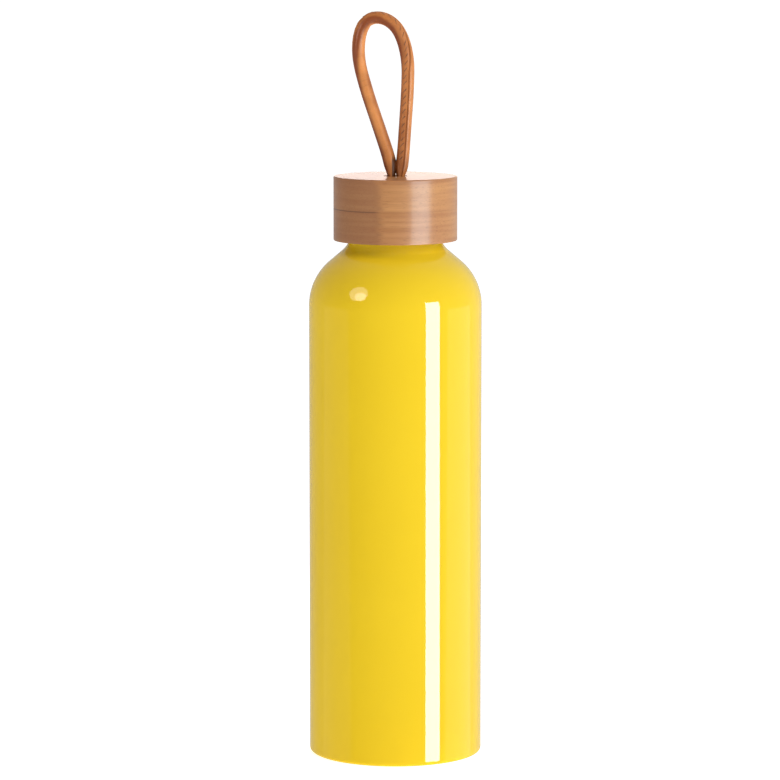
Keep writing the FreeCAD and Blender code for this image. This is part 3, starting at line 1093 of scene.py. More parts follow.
@dataclass
class ScrewThread:
    """The ridge of a right-handed thread on a turned wall."""

    root: float
    crest: float
    start: float
    turns: tuple[float, float]
    pitch: float = 4.0 * MM
    root_width: float = 2.1 * MM
    crest_width: float = 0.9 * MM
    bite: float = 0.25 * MM
    steps_per_turn: int = 72
    fade: float = 18.0  # degrees over which each end dies away into the wall

    def add_to(self, mesh: bmesh.types.BMesh) -> None:
        """Adds the ridge to the mesh of the wall that it stands on.

        Args:
            mesh: The wall's mesh.
        """
        outward = 1 if self.crest > self.root else -1
        foot = self.root - outward * self.bite
        first, last = self.turns
        low = self.start + self.pitch * first
        corners = [
            (foot, low - self.root_width / 2),
            (self.crest, low - self.crest_width / 2),
            (self.crest, low + self.crest_width / 2),
            (foot, low + self.root_width / 2),
        ]
        verts = [mesh.verts.new((radius, 0.0, height)) for radius, height in corners]
        face = mesh.faces.new(verts)
        old = set(mesh.verts) - set(verts)
        bmesh.ops.rotate(mesh, verts=verts, matrix=Matrix.Rotation(2 * pi * first, 3, "Z"))
        steps = round(self.steps_per_turn * (last - first))
        swept = bmesh.ops.spin(
            mesh,
            geom=[face, *face.edges, *face.verts],
            cent=(0.0, 0.0, 0.0),
            axis=(0.0, 0.0, 1.0),
            dvec=(0.0, 0.0, self.pitch * (last - first) / steps),
            angle=2 * pi * (last - first),
            steps=steps,
        )
        end = next(g for g in swept["geom_last"] if isinstance(g, bmesh.types.BMFace))
        start = next(f for f in mesh.faces if all(v in set(verts) for v in f.verts))
        for cap, way in ((end, 1), (start, -1)):
            self._die_away(mesh, cap, way, foot)
        new = [f for f in mesh.faces if not any(v in old for v in f.verts)]
        bmesh.ops.recalc_face_normals(mesh, faces=new)

    def _die_away(
        self, mesh: bmesh.types.BMesh, cap: bmesh.types.BMFace, way: int, foot: float
    ) -> None:
        """Draws one end of the ridge on until its crest sinks into the wall.

        Args:
            mesh: The mesh.
            cap: The ridge's end face.
            way: 1 at its upper end and -1 at its lower end.
            foot: The radius inside the wall that the crest sinks to.
        """
        made = bmesh.ops.extrude_face_region(mesh, geom=[cap])
        if cap.is_valid:
            bmesh.ops.delete(mesh, geom=[cap], context="FACES_ONLY")
        moved = [g for g in made["geom"] if isinstance(g, bmesh.types.BMVert)]
        bmesh.ops.rotate(mesh, verts=moved, matrix=Matrix.Rotation(radians(way * self.fade), 3, "Z"))
        rise = way * self.pitch * self.fade / 360
        bmesh.ops.translate(mesh, verts=moved, vec=(0.0, 0.0, rise))
        tall = [v for v in moved if abs(v.co.xy.length - self.crest) < abs(v.co.xy.length - foot)]
        shrink = foot / self.crest
        bmesh.ops.scale(mesh, verts=tall, vec=(shrink, shrink, 1.0))


# ---- the bottle -----------------------------------------------------------------------------


@dataclass
class LacqueredShell:
    """The outer shell: side, shoulder, and a neck with its thread rolled in."""

    radius: float
    rim: float
    wall: float = 0.5 * MM
    corner: float = 1.6 * MM
    stand_lip: float = 0.8 * MM
    shoulder_start: float = 173.0 * MM
    shoulder_radius: float = 21.9 * MM
    slope: float = 49.7  # degrees from upright, where the dome turns into a cone
    cone: float = 6.3 * MM
    throat: float = 10.9 * MM
    lip: float = 0.5 * MM
    weld_gap: float = 0.2 * MM
    thread_depth: float = 1.3 * MM
    thread_start: float = 204.3 * MM
    thread_turns: float = 1.25
    facets: int = 192
    dome_steps: int = 28
    throat_steps: int = 16

    def cone_top(self) -> tuple[float, float]:
        """The radius and height where the cone meets the throat."""
        lean = radians(self.slope)
        radius = self.radius - self.shoulder_radius * (1 - cos(lean)) - self.cone * sin(lean)
        height = self.shoulder_start + self.shoulder_radius * sin(lean) + self.cone * cos(lean)
        return radius, height

    def throat_centre(self) -> tuple[float, float]:
        """The radius and height that the throat curves about."""
        lean = radians(self.slope)
        radius, height = self.cone_top()
        return radius + self.throat * cos(lean), height + self.throat * sin(lean)

    def neck_radius(self) -> float:
        """The neck's outer radius, between its threads."""
        return self.throat_centre()[0] - self.throat

    def weld_radius(self) -> float:
        """The radius of the weld between this shell's lip and the vessel's neck."""
        return self.neck_radius() - self.wall - self.weld_gap

    def build(self) -> bpy.types.Object:
        """Turns the shell and adds its thread.

        Returns:
            The shell.
        """
        r, lip = self.radius, self.corner + self.stand_lip
        neck, weld = self.neck_radius(), self.weld_radius()
        centre = (r - self.shoulder_radius, self.shoulder_start)
        throat = self.throat_centre()
        lean = radians(self.slope)
        foot = (r - self.corner, self.corner)
        cone_radius, cone_height = self.cone_top()
        inner_foot = cone_radius - self.wall * cos(lean), cone_height - self.wall * sin(lean)
        shell = Outline(r - lip, 0.0)
        shell.to(r - self.corner, 0.0).about(*foot, 90.0)
        shell.to(r, self.shoulder_start).about(*centre, self.slope, self.dome_steps)
        shell.to(*self.cone_top()).about(*throat, -self.slope, self.throat_steps)
        shell.to(neck, self.rim, self.lip / 2).to(weld, self.rim).to(weld, self.rim - self.lip)
        shell.to(neck - self.wall, self.rim - self.lip).to(neck - self.wall, throat[1])
        shell.about(*throat, self.slope, self.throat_steps).to(*inner_foot)
        shell.to(*self.dome_inside(centre, lean))
        shell.about(*centre, -self.slope, self.dome_steps)
        shell.to(r - self.wall, self.corner).about(*foot, -90.0).to(r - lip, self.wall)
        mesh = shell.turned(steps=self.facets)
        crest = neck + self.thread_depth
        ScrewThread(neck, crest, self.thread_start, (0.0, self.thread_turns)).add_to(mesh)
        return place(
            finished(mesh, "lacquered_shell"),
            GlossLacquer("baked yellow polyurethane lacquer"),
            Body.BOTTLE,
            ["outer_shell"],
        )

    def dome_inside(self, centre: tuple[float, float], lean: float) -> tuple[float, float]:
        """The top of the dome on the wall's inner face.

        Args:
            centre: The radius and height that the dome curves about.
            lean: The slope there, in radians.

        Returns:
            Its radius and height.
        """
        reach = self.shoulder_radius - self.wall
        return centre[0] + reach * cos(lean), centre[1] + reach * sin(lean)


@dataclass
class VacuumFlask:
    """What the shell holds and hides: the drinking vessel, the vacuum's parts and the base."""

    shell: LacqueredShell
    radius: float = 29.6 * MM
    wall: float = 0.4 * MM
    neck_fillet: float = 4.0 * MM
    seam: float = 9.5 * MM
    floor: float = 6.6 * MM
    corner: float = 2.5 * MM
    recess: float = 3.0 * MM
    cup_wall: float = 0.5 * MM
    cup_corner: float = 1.2 * MM
    flange_lift: float = 0.15 * MM
    port: float = 0.8 * MM
    dimple: float = 4.5 * MM
    dimple_depth: float = 0.9 * MM
    cover: float = 0.6 * MM
    cover_gap: float = 0.05 * MM
    cover_clearance: float = 0.2 * MM
    dome_steps: int = 20
    throat_steps: int = 10

    def vessel(self) -> bpy.types.Object:
        """Turns the drinking vessel, open at both ends.

        Returns:
            The vessel.
        """
        shell, lean = self.shell, radians(self.shell.slope)
        dome = shell.shoulder_radius - (shell.radius - self.radius)
        centre = (self.radius - dome, shell.shoulder_start)
        neck = shell.weld_radius()
        top = (centre[0] + dome * cos(lean), centre[1] + dome * sin(lean))
        run = (top[0] - neck - self.neck_fillet * (1 - cos(lean))) / sin(lean)
        cone = (top[0] - run * sin(lean), top[1] + run * cos(lean))
        throat = (cone[0] + self.neck_fillet * cos(lean), cone[1] + self.neck_fillet * sin(lean))
        thin = dome - self.wall
        made = Outline(self.radius, self.seam).to(self.radius, shell.shoulder_start)
        made.about(*centre, shell.slope, self.dome_steps).to(*cone)
        made.about(*throat, -shell.slope, self.throat_steps)
        made.to(neck, shell.rim).to(neck - self.wall, shell.rim).to(neck - self.wall, throat[1])
        made.about(*throat, shell.slope, self.throat_steps)
        made.to(centre[0] + thin * cos(lean), centre[1] + thin * sin(lean))
        made.about(*centre, -shell.slope, self.dome_steps)
        made.to(self.radius - self.wall, self.seam)
        return place(
            finished(made.turned(), "drinking_vessel"),
            SpunMetal("electropolished stainless steel"),
            Body.BOTTLE,
            ["inner_vessel"],
        )

    def bottom(self) -> bpy.types.Object:
        """Turns the dish that closes the vessel below.

        Returns:
            The dish.
        """
        centre = (self.radius - self.corner, self.floor + self.corner)
        made = Outline(0.0, self.floor).to(centre[0], self.floor).about(*centre, 90.0)
        made.to(self.radius, self.seam).to(self.radius - self.wall, self.seam)
        made.to(self.radius - self.wall, centre[1]).about(*centre, -90.0)
        made.to(0.0, self.floor + self.wall)
        return place(
            finished(made.turned(close=False), "vessel_dish"),
            SpunMetal("electropolished stainless steel"),
            Body.BOTTLE,
            ["vessel_bottom"],
        )

    def base(self) -> list[bpy.types.Object]:
        """Turns the base cup and the plate under it.

        Returns:
            The two pieces.
        """
        lip = self.shell.radius - self.shell.corner - self.shell.stand_lip
        top, boss = self.recess + self.cup_wall, self.dimple + self.cup_wall
        cup = Outline(self.port, self.recess + self.dimple_depth)
        cup.to(self.dimple, self.recess + self.dimple_depth).to(self.dimple, self.recess)
        cup.to(lip - self.cup_wall, self.recess, self.cup_corner - self.cup_wall)
        cup.to(lip - self.cup_wall, self.flange_lift).to(lip, self.flange_lift)
        cup.to(lip, top, self.cup_corner).to(boss, top)
        cup.to(boss, top + self.dimple_depth).to(self.port, top + self.dimple_depth)
        edge = lip - self.cup_wall - self.cover_clearance - (self.cup_corner - self.cup_wall)
        high = self.recess - self.cover_gap
        plate = Outline(0.0, high).to(edge, high)
        plate.to(edge, high - self.cover, self.cover / 3).to(0.0, high - self.cover)
        steel = SpunMetal(
            "spun stainless steel", roughness=(0.28, 0.46), line=0.4 * MM, depth=0.015 * MM
        )
        return [
            place(finished(cup.turned(), "base_dish"), steel, Body.BOTTLE, ["base_cup"]),
            place(
                finished(plate.turned(close=False), "base_plate"),
                steel,
                Body.BOTTLE,
                ["base_cover"],
            ),
        ]

    def hidden(self) -> None:
        """Dresses the CAD parts that stay, inside the vacuum."""
        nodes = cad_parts
        finishes = {
            "heat_foil": SpunMetal(
                "rolled copper foil", "#C98A63", "#A86845", (0.18, 0.34), line=1.5 * MM, depth=0.05 * MM
            ),
            "port_seal": MouldedPlastic(
                "fused solder glass", "#5B6A62", "#46534C", roughness=(0.08, 0.14), ior=1.7
            ),
            "getter": SpunMetal(
                "sintered getter metal", "#77716A", "#5C5751", (0.6, 0.8), line=0.15 * MM
            ),
            "getter_clip": SpunMetal("cut stainless strip", roughness=(0.3, 0.45)),
        }
        for name, finish in finishes.items():
            finish.put_on(nodes[name])
            LOG.info("%s keeps its CAD shape, %s", name, finish.name)

    def build(self) -> None:
        """Makes every part in the shell."""
        self.vessel()
        self.bottom()
        self.base()
        self.hidden()


# ---- the lid --------------------------------------------------------------------------------


@dataclass
class ScrewLid:
    """The turned bamboo lid and the threaded liner that is glued into it."""

    radius: float
    bottom: float
    top: float
    rim: float
    neck: float
    crest: float
    edge: float = 0.4 * MM
    bore: float = 20.0 * MM
    seat: float = 214.0 * MM
    pocket: float = 12.0 * MM
    pocket_roof: float = 218.2 * MM
    hole: float = 4.1 * MM
    hole_round: float = 0.6 * MM
    clearance: float = 0.05 * MM
    liner_bottom: float = 198.6 * MM
    ceiling: float = 212.4 * MM
    plug: float = 14.2 * MM
    plug_wall: float = 1.2 * MM
    flange: float = 1.1 * MM
    flange_height: float = 0.8 * MM
    corner: float = 1.0 * MM
    grooves: int = 3
    groove_depth: float = 0.3 * MM
    groove_width: float = 1.0 * MM
    thread_gap: float = 0.35 * MM
    thread_start: float = 202.3 * MM
    thread_run: tuple[float, float] = (0.15, 1.4)
    facets: int = 192

    def cap(self) -> bpy.types.Object:
        """Turns the bamboo, with its bore, its pocket and the loop's hole.

        Returns:
            The bamboo.
        """
        step = self.liner_bottom + self.flange_height + self.clearance
        made = Outline(self.hole, self.pocket_roof).to(self.hole, self.top, self.hole_round)
        made.to(self.radius, self.top, self.edge).to(self.radius, self.bottom, self.edge)
        made.to(self.bore + self.flange, self.bottom).to(self.bore + self.flange, step)
        made.to(self.bore, step).to(self.bore, self.seat).to(self.pocket, self.seat)
        made.to(self.pocket, self.pocket_roof)
        return place(
            finished(made.turned(steps=self.facets), "bamboo_cap"),
            LaminatedBamboo("varnished laminated bamboo"),
            Body.LID,
            ["bamboo_lid"],
        )

    def liner(self) -> bpy.types.Object:
        """Turns the liner, with its glue grooves, and adds its thread.

        Returns:
            The liner.
        """
        outer, top = self.bore - self.clearance, self.seat - self.clearance
        flange_top = self.liner_bottom + self.flange_height
        root = self.crest + self.thread_gap
        made = Outline(0.0, self.ceiling).to(self.plug - self.plug_wall, self.ceiling)
        made.to(self.plug - self.plug_wall, self.rim).to(self.plug, self.rim).to(self.plug, self.ceiling)
        made.to(root, self.ceiling, self.corner).to(root, self.liner_bottom)
        made.to(outer + self.flange, self.liner_bottom).to(outer + self.flange, flange_top)
        made.to(outer, flange_top)
        spacing = (top - flange_top) / (self.grooves + 1)
        for groove in range(self.grooves):
            low = flange_top + spacing * (groove + 1) - self.groove_width / 2
            inner, high = outer - self.groove_depth, low + self.groove_width
            made.to(outer, low).to(inner, low).to(inner, high).to(outer, high)
        made.to(outer, top).to(0.0, top)
        mesh = made.turned(close=False)
        ScrewThread(root, self.neck + self.thread_gap, self.thread_start, self.thread_run).add_to(mesh)
        return place(
            finished(mesh, "moulded_liner"),
            MouldedPlastic("moulded natural polypropylene"),
            Body.LID,
            ["thread_liner"],
        )

    def build(self) -> None:
        """Makes the bamboo and its liner."""
        self.cap()
        self.liner()


@dataclass
class SealRing:
    """The silicone ring between the lid and the mouth."""

    rim: float
    ceiling: float
    outer: float = 17.6 * MM
    inner: float = 14.4 * MM
    plug: float = 15.3 * MM
    plug_depth: float = 1.4 * MM
    gap: float = 0.1 * MM
    rounding: float = 0.6 * MM
    plug_round: float = 0.4 * MM

    def build(self) -> bpy.types.Object:
        """Turns the ring.

        Returns:
            The ring.
        """
        low, high, lip = self.rim + self.gap, self.ceiling - self.gap, self.rim - self.plug_depth
        made = Outline(self.inner, lip).to(self.plug, lip, self.plug_round).to(self.plug, low)
        made.to(self.outer, low).to(self.outer, high, self.rounding).to(self.inner, high)
        return place(
            finished(made.turned(), "silicone_ring"),
            MouldedPlastic(
                "moulded silicone rubber",
                "#E6E4DF",
                "#D6D3CC",
                roughness=(0.45, 0.6),
                translucency=0.35,
                ior=1.41,
            ),
            Body.SEAL,
            ["sealing_ring"],
        )


# ---- the loop -------------------------------------------------------------------------------


@dataclass
class LoopAnchor:
    """The washer and the crimped ferrule that hold the loop's ends in the lid's pocket."""

    roof: float
    gap: float = 0.15 * MM
    washer: float = 8.0 * MM
    washer_hole: float = 4.0 * MM
    washer_thickness: float = 1.0 * MM
    washer_round: float = 0.25 * MM
    ferrule: float = 5.2 * MM
    ferrule_hole: float = 3.82 * MM
    ferrule_height: float = 2.6 * MM
    ferrule_gap: float = 0.05 * MM
    crimps: tuple[float, float] = (0.7, 0.3)  # shares of the ferrule's height, from its top
    crimp_depth: float = 0.3 * MM
    crimp_width: float = 0.6 * MM
    facets: int = 96

    def build(self) -> None:
        """Turns both."""
        top = self.roof - self.gap
        low = top - self.washer_thickness
        washer = Outline(self.washer_hole, low).to(self.washer, low, self.washer_round)
        washer.to(self.washer, top).to(self.washer_hole, top)
        place(
            finished(washer.turned(steps=self.facets), "anchor_ring"),
            SpunMetal("stamped stainless steel", roughness=(0.3, 0.45), line=0.3 * MM),
            Body.ANCHOR,
            ["anchor_washer"],
        )
        high = low - self.ferrule_gap
        foot = high - self.ferrule_height
        ferrule = Outline(self.ferrule_hole, foot).to(self.ferrule, foot)
        for share in self.crimps:
            middle = high - self.ferrule_height * share
            below, above = middle - self.crimp_width / 2, middle + self.crimp_width / 2
            waist, bend = self.ferrule - self.crimp_depth, self.crimp_width / 3
            ferrule.to(self.ferrule, below).to(waist, below, bend)
            ferrule.to(waist, above, bend).to(self.ferrule, above)
        ferrule.to(self.ferrule, high).to(self.ferrule_hole, high)
        place(
            finished(ferrule.turned(steps=self.facets), "crimped_sleeve"),
            SpunMetal("turned plain brass", "#D6B067", "#B98F48", (0.25, 0.42), line=0.2 * MM),
            Body.ANCHOR,
            ["crimp_ferrule"],
        )


@dataclass(frozen=True)
class Leg:
    """How one end of the loop is squeezed where it enters the lid."""

    thin: float  # its width there, as a share of the round leather's
    deep: float  # its depth there, likewise
    reach: float  # how far above the lid it is round again


@dataclass
class LeatherLoop:
    """The carry loop: a strip of leather rolled round a filler and whip-stitched along its seam."""

    lid_top: float
    pivot: float
    route: tuple[tuple[float, float, float], ...] = (
        (-1.35, 0.0, 214.3),
        (-1.35, 0.0, 220.6),
        (-1.9, 0.0, 227.4),
        (-6.3, 0.1, 240.7),
        (-11.2, 0.3, 255.1),
        (-14.4, 0.6, 267.5),
        (-13.5, 0.8, 277.6),
        (-9.6, 0.9, 282.5),
        (-3.2, 0.8, 281.9),
        (1.9, 0.7, 277.0),
        (4.8, 0.4, 267.0),
        (4.6, 0.2, 255.2),
        (3.7, 0.1, 241.8),
        (2.75, 0.0, 228.0),
        (1.65, 0.0, 221.0),
        (1.7, 0.0, 214.3),
    )
    radius: float = 2.4 * MM
    length: float = 146.5 * MM
    facets: int = 40
    groove: float = 0.26 * MM
    lap: float = 0.2 * MM
    flat: float = 0.02  # how far the rolled leather is from round, as a share
    lobes: int = 4
    # where the seam and its stitches are round the leather, in degrees from the loop's inside
    # towards the front, at shares of its length from the left end to the right one
    seam: Table = ((0.0, -70.0), (0.3, -70.0), (0.68, -258.0), (1.0, -254.0))
    sewn: Table = ((0.0, -100.0), (0.3, -105.0), (0.68, -297.0), (1.0, -278.0))
    left: Leg = Leg(0.58, 1.2, 5.3 * MM)
    right: Leg = Leg(0.66, 1.18, 4.5 * MM)
    crease: float = 0.06
    crease_at: float = 0.47
    crease_width: float = 0.9 * MM
    wander: float = 0.012  # how far the leather's width wanders along it, as a share
    wander_length: float = 7.3 * MM
    stitch: tuple[float, float, float] = (1.2 * MM, 0.2 * MM, 0.2 * MM)
    stitch_pitch: float = 2.6 * MM
    stitch_slant: float = 52.0
    stitch_lift: float = 2.3 * MM
    bend_gap: float = 0.3 * MM
    bend_start: float = 0.6 * MM
    bend_margin: float = 0.1 * MM

    def __post_init__(self) -> None:
        """Draws the loop's line and measures along it."""
        self.line = self.centreline()
        self.along = [0.0]
        for here, there in zip(self.line, self.line[1:]):
            self.along.append(self.along[-1] + (there - here).length)
        LOG.info("the loop's line is %.1f mm long", self.along[-1] / MM)

    def centreline(self) -> list[Vector]:
        """Reads the loop's line from the smooth curve that its route controls.

        Returns:
            Its points, in order.
        """
        data = bpy.data.curves.new("loop_line", "CURVE")
        data.dimensions = "3D"
        spline = data.splines.new("NURBS")
        spline.points.add(len(self.route) - 1)
        for point, place_mm in zip(spline.points, self.route):
            point.co = (*(value * MM for value in place_mm), 1.0)
        spline.order_u = 3
        spline.use_endpoint_u = True
        spline.resolution_u = 24
        holder = bpy.data.objects.new("loop_line", data)
        read = bpy.data.meshes.new_from_object(holder)
        points = [vert.co.copy() for vert in read.vertices]
        bpy.data.objects.remove(holder)
        bpy.data.meshes.remove(read)
        kept = points[:1]
        for point in points[1:]:
            if (point - kept[-1]).length > MERGE:
                kept.append(point)
        return kept

    def frame_at(self, index: int) -> Matrix:
        """The local frame of the line: X to the loop's inside, Y to the front, Z back along it.

        Args:
            index: Which of the line's points.

        Returns:
            The frame as a matrix.
        """
        before, after = self.line[max(index - 1, 0)], self.line[min(index + 1, len(self.line) - 1)]
        along = (after - before).normalized()
        inward = along.cross(Vector((0.0, -1.0, 0.0))).normalized()
        front = inward.cross(along)
        turn = Matrix((inward, front, -along)).transposed().to_4x4()
        return Matrix.Translation(self.line[index]) @ turn

    def turn_at(self, index: int, places: Table) -> float:
        """How far round the leather something that winds along it is.

        Args:
            index: Which of the line's points.
            places: Its angle in degrees at some shares of the length.

        Returns:
            Its angle there, in radians.
        """
        share = self.along[index] / self.along[-1]
        angle = places[-1][1]
        for (first, begin), (last, end) in zip(places, places[1:]):
            if first <= share <= last:
                angle = begin + (end - begin) * (share - first) / (last - first)
        return radians(angle)

    def squeeze(self, index: int) -> tuple[float, float]:
        """How the leather's section is squeezed at a point of the line.

        Args:
            index: Which of the line's points.

        Returns:
            Its width across the two legs and its depth, as shares of the round section's.
        """
        share = self.along[index] / self.along[-1]
        leg = self.left if share < 0.5 else self.right
        free = min(1.0, max(0.0, (self.line[index].z - self.lid_top) / leg.reach))
        free = sin(free * pi / 2)
        away = (share - self.crease_at) * self.along[-1] / self.crease_width
        pinch = 1 - self.crease * exp(-(away**2))
        wander = 1 + self.wander * sin(self.along[index] / self.wander_length)
        width = (leg.thin + (1 - leg.thin) * free) * pinch * wander
        return width, (leg.deep + (1 - leg.deep) * free) / wander

    def section(self, mesh: bmesh.types.BMesh, index: int) -> list[bmesh.types.BMVert]:
        """Draws the leather's section at one point of the line.

        Args:
            mesh: The loop's mesh.
            index: Which of the line's points.

        Returns:
            The section's points, from the bottom of the seam and round.
        """
        made = bmesh.ops.create_circle(mesh, cap_ends=False, segments=self.facets, radius=self.radius)
        verts = made["verts"]
        half = self.facets // 2
        for place_round, vert in enumerate(verts):
            angle = 2 * pi * place_round / self.facets
            lift = self.lap * max(0.0, 1 - place_round / half) if place_round else -self.groove
            vert.co *= 1 + lift / self.radius - self.flat * cos(self.lobes * angle)
        width, depth = self.squeeze(index)
        matrix = self.frame_at(index) @ Matrix.Diagonal((width, depth, 1.0, 1.0))
        # the circle's first point is on its own Y axis, and the seam is measured from X
        turn = Matrix.Rotation(self.turn_at(index, self.seam) - pi / 2, 4, "Z")
        bmesh.ops.transform(mesh, verts=verts, matrix=matrix @ turn)
        return verts

    def sleeve(self) -> bpy.types.Object:
        """Rolls the leather: one section at each point of the line, each bridged to the next.

        Returns:
            The leather.
        """
        mesh = bmesh.new()
        where: dict[bmesh.types.BMVert, tuple[int, int]] = {}
        last: list[bmesh.types.BMEdge] = []
        for index in range(len(self.line)):
            verts = self.section(mesh, index)
            where.update({vert: (place_round, index) for place_round, vert in enumerate(verts)})
            edges = list({edge for vert in verts for edge in vert.link_edges})
            if last:
                bmesh.ops.bridge_loops(mesh, edges=last + edges)
            last = edges
        bmesh.ops.holes_fill(mesh, edges=[edge for edge in mesh.edges if edge.is_boundary])
        bmesh.ops.recalc_face_normals(mesh, faces=mesh.faces[:])
        layer = mesh.loops.layers.uv.new("leather")
        girth = 2 * pi * self.radius
        for face in mesh.faces:
            wraps = {where[corner.vert][0] for corner in face.loops} >= {0, self.facets - 1}
            for corner in face.loops:
                place_round, index = where[corner.vert]
                turn = 1.0 if wraps and place_round == 0 else place_round / self.facets
                corner[layer].uv = (girth * turn, self.along[index])
        return finished(mesh, "rolled_leather")

    def sewing(self) -> bpy.types.Object:
        """Sews the seam: one slanting stitch of thread after another across its two edges.

        Returns:
            The stitches.
        """
        mesh = bmesh.new()
        start = self.pivot + self.radius + self.bend_gap
        free = [i for i, point in enumerate(self.line) if point.z > start + self.stitch_pitch / 2]
        next_at = self.along[free[0]]
        for index in free:
            if self.along[index] < next_at:
                continue
            next_at += self.stitch_pitch
            width, depth = self.squeeze(index)
            angle = self.turn_at(index, self.sewn)
            verts = bmesh.ops.create_uvsphere(mesh, u_segments=10, v_segments=6, radius=1.0)["verts"]
            # the stitch's length lies across the seam, slanting along the loop
            bmesh.ops.scale(mesh, verts=verts, vec=(self.stitch[2], self.stitch[0], self.stitch[1]))
            slant = Matrix.Rotation(radians(self.stitch_slant), 4, "X")
            lift = Matrix.Translation((self.stitch_lift, 0.0, 0.0))
            matrix = self.frame_at(index) @ Matrix.Diagonal((width, depth, 1.0, 1.0))
            turn = Matrix.Rotation(angle, 4, "Z")
            bmesh.ops.transform(mesh, verts=verts, matrix=matrix @ turn @ lift @ slant)
        bmesh.ops.recalc_face_normals(mesh, faces=mesh.faces[:])
        return finished(mesh, "whip_stitches")

    def build(self) -> None:
        leather = place(
            self.sleeve(),
            WaxedLeather("waxed vegetable-tanned leather", girth=2 * pi * self.radius),
            None,
            ["carry_loop", "loop_core", "loop_ends"],
        )
        sewing = place(
            self.sewing(), SewingThread("waxed polyester thread"), None, ["loop_stitches"]
        )
        for piece in (leather, sewing):
            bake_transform(piece)


# ---- studio ---------------------------------------------------------------------------------

WOOD_AND_LEATHER = ("bamboo_cap", "rolled_leather")


@dataclass
class ViewCamera:
    """A long lens in front of the bottle, a little above it and pitched down."""

    distance: float = 1.5961
    height: float = 0.3405
    aside: float = -0.00205
    pitch: float = 7.155
    lens: float = 193.88
    sensor: float = 36.0

    def build(self) -> None:
        """Adds the camera and makes it the scene's."""
        data = bpy.data.cameras.new("long_lens")
        data.lens = self.lens
        data.sensor_width = self.sensor
        data.clip_start, data.clip_end = 0.05, 60.0
        camera = bpy.data.objects.new("long_lens", data)
        camera.location = (self.aside, -self.distance, self.height)
        camera.rotation_euler = (radians(90 - self.pitch), 0.0, 0.0)
        bpy.context.scene.collection.objects.link(camera)
        bpy.context.scene.camera = camera


@dataclass
class Lamp:
    """A softbox or reflector, aimed at a point on the bottle's axis."""

    name: str
    azimuth: float  # degrees to the right of the camera's side
    distance: float
    low: float  # the height of its lower edge
    high: float  # the height of its upper edge
    width: float
    radiance: float
    aim: float
    seen: Seen
    colour: str = "#FFFFFF"
    oval: bool = False
    only: tuple[str, ...] = ()  # the pieces that it lights, if not all

    def build(self) -> None:
        """Hangs the lamp."""
        middle = (self.low + self.high) / 2
        turn = radians(self.azimuth)
        at = Vector((self.distance * sin(turn), -self.distance * cos(turn), middle))
        aim = Vector((0.0, 0.0, self.aim)) - at
        data = bpy.data.lights.new(self.name, "AREA")
        data.shape = "ELLIPSE" if self.oval else "RECTANGLE"
        data.size = self.width
        data.size_y = self.high - self.low
        data.color = linear(self.colour)[:3]
        data.energy = self.radiance * pi * data.size * data.size_y
        lamp = bpy.data.objects.new(self.name, data)
        lamp.location = at
        lamp.rotation_euler = aim.to_track_quat("-Z", "Y").to_euler()
        lamp.visible_camera = False
        lamp.visible_diffuse, lamp.visible_glossy = self.seen.value
        if self.only:
            lit = bpy.data.collections.new(f"{self.name}_lights")
            for piece in self.only:
                lit.objects.link(bpy.data.objects[piece])
            lamp.light_linking.receiver_collection = lit
        bpy.context.scene.collection.objects.link(lamp)
        LOG.info("lamp %s", self.name)


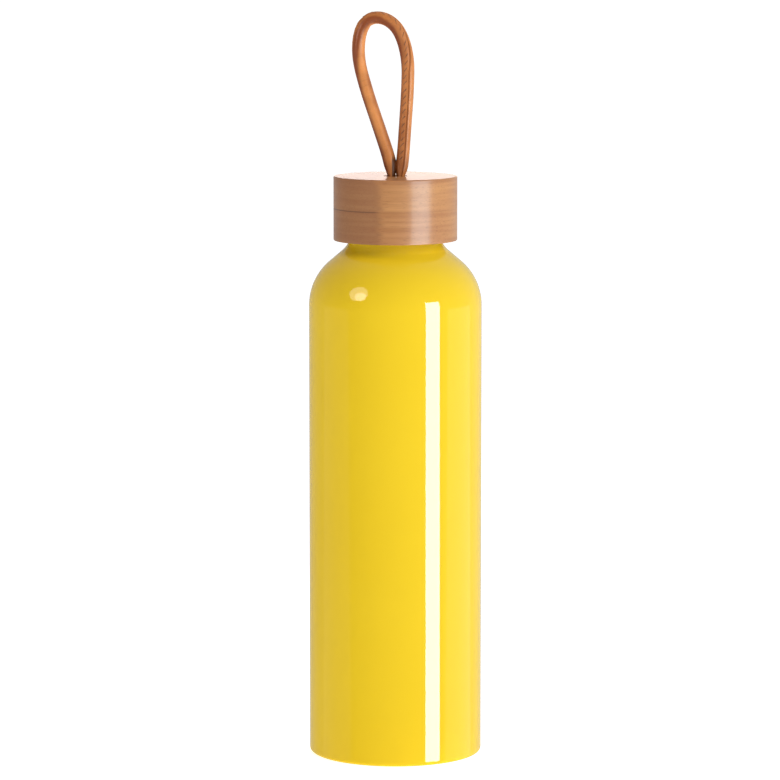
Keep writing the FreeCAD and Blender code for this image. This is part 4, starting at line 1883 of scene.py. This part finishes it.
@dataclass
class Studio:
    """The pale table, the soft surroundings and the lamps."""

    reach: float = 30.0
    dim: float = 0.23  # how bright the surroundings are on the camera's side
    bright: float = 0.55  # and behind the bottle
    tilt: float = 0.35  # how much brighter they are on the right

    def table(self) -> None:
        """Lays the table that the bottle stands on."""
        mesh = bmesh.new()
        bmesh.ops.create_grid(mesh, x_segments=2, y_segments=2, size=self.reach)
        data = bpy.data.meshes.new("opal_table")
        mesh.to_mesh(data)
        mesh.free()
        table = bpy.data.objects.new("opal_table", data)
        bpy.context.scene.collection.objects.link(table)
        OpalTable("white opal acrylic").put_on(table)
        table.visible_glossy = False

    def surroundings(self) -> None:
        """Lights the room: white to the camera, brighter behind and to the right for the rest."""
        world = bpy.data.worlds.new("soft_room")
        world.use_nodes = True
        tree = world.node_tree
        background = tree.nodes["Background"]
        way = add_node(tree, "ShaderNodeTexCoord").outputs["Generated"]
        parts = add_node(tree, "ShaderNodeSeparateXYZ", None, {0: way})
        behind = add_node(
            tree,
            "ShaderNodeMapRange",
            {"interpolation_type": "SMOOTHSTEP"},
            {
                "Value": parts.outputs["Y"],
                "From Min": -0.6,
                "From Max": 0.9,
                "To Min": self.dim,
                "To Max": self.bright,
            },
        )
        side = add_node(
            tree,
            "ShaderNodeMapRange",
            None,
            {
                "Value": parts.outputs["X"],
                "From Min": -1.0,
                "To Min": 1 - self.tilt,
                "To Max": 1 + self.tilt,
            },
        )
        strength = add_node(
            tree,
            "ShaderNodeMath",
            {"operation": "MULTIPLY"},
            {0: behind.outputs[0], 1: side.outputs[0]},
        )
        eye = add_node(tree, "ShaderNodeLightPath").outputs["Is Camera Ray"]
        seen = add_node(
            tree, "ShaderNodeMix", {"data_type": "FLOAT"}, {0: eye, 2: strength.outputs[0], 3: 1.0}
        )
        background.inputs["Color"].default_value = linear("#FFFFFF")
        tree.links.new(seen.outputs[0], background.inputs["Strength"])
        bpy.context.scene.world = world

    def build(self) -> None:
        """Sets the table, the room and every lamp."""
        self.table()
        self.surroundings()
        for lamp in (
            Lamp("key_softbox", 50.0, 1.1, 0.3, 1.1, 0.8, 3.7, 0.15, Seen.MATT),
            Lamp("top_softbox", -60.0, 0.35, 0.75, 1.15, 0.5, 2.8, 0.15, Seen.MATT, "#FFEBD6"),
            Lamp("left_panel", -84.0, 0.3, -0.12, 0.17, 0.26, 0.25, 0.1, Seen.GLOSS),
            Lamp("right_panel", 92.0, 0.3, -0.12, 0.17, 0.26, 0.6, 0.1, Seen.GLOSS),
            Lamp("strip", 36.5, 0.056, -0.004, 0.183, 0.0146, 18.0, 0.09, Seen.GLOSS),
            Lamp(
                "lid_band", 48.0, 1.5, 0.0, 0.2, 1.0, 13.0, 0.2, Seen.GLOSS, "#D6EFFF",
                only=WOOD_AND_LEATHER,
            ),
            Lamp(
                "oval_window", -54.0, 0.5, 0.3, 0.55, 0.25, 3.0, 0.18, Seen.GLOSS, "#FFEFE4", oval=True
            ),
            Lamp(
                "oval_core", -49.0, 0.5, 0.31, 0.45, 0.15, 4.0, 0.18, Seen.GLOSS, "#FFEFE4", oval=True
            ),
            Lamp(
                "back_card", 180.0, 1.4, 0.27, 0.46, 0.6, 3.3, 0.3, Seen.GLOSS, "#FFEAE2",
                only=("bamboo_cap",),
            ),
        ):
            lamp.build()
        bpy.context.scene.view_settings.view_transform = "Standard"


def main() -> None:
    """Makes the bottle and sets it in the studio."""
    logging.basicConfig(level=logging.INFO, format="%(message)s")
    ViewCamera().build()
    shell_box, lid_box, ends_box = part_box("outer_shell"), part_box("bamboo_lid"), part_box("loop_ends")
    lid_top = lid_box[1].z
    radius = (shell_box[1].x - shell_box[0].x) / 2
    LeatherLoop(lid_top, ends_box[1].z - LeatherLoop.radius).build()
    shell = LacqueredShell(radius, shell_box[1].z)
    shell.build()
    VacuumFlask(shell).build()
    neck = shell.neck_radius()
    lid = ScrewLid(
        (lid_box[1].x - lid_box[0].x) / 2,
        lid_box[0].z,
        lid_top,
        shell.rim,
        neck,
        neck + shell.thread_depth,
    )
    lid.build()
    SealRing(shell.rim, lid.ceiling).build()
    LoopAnchor(lid.pocket_roof).build()
    Studio().build()


if __name__ == "__main__":
    main()
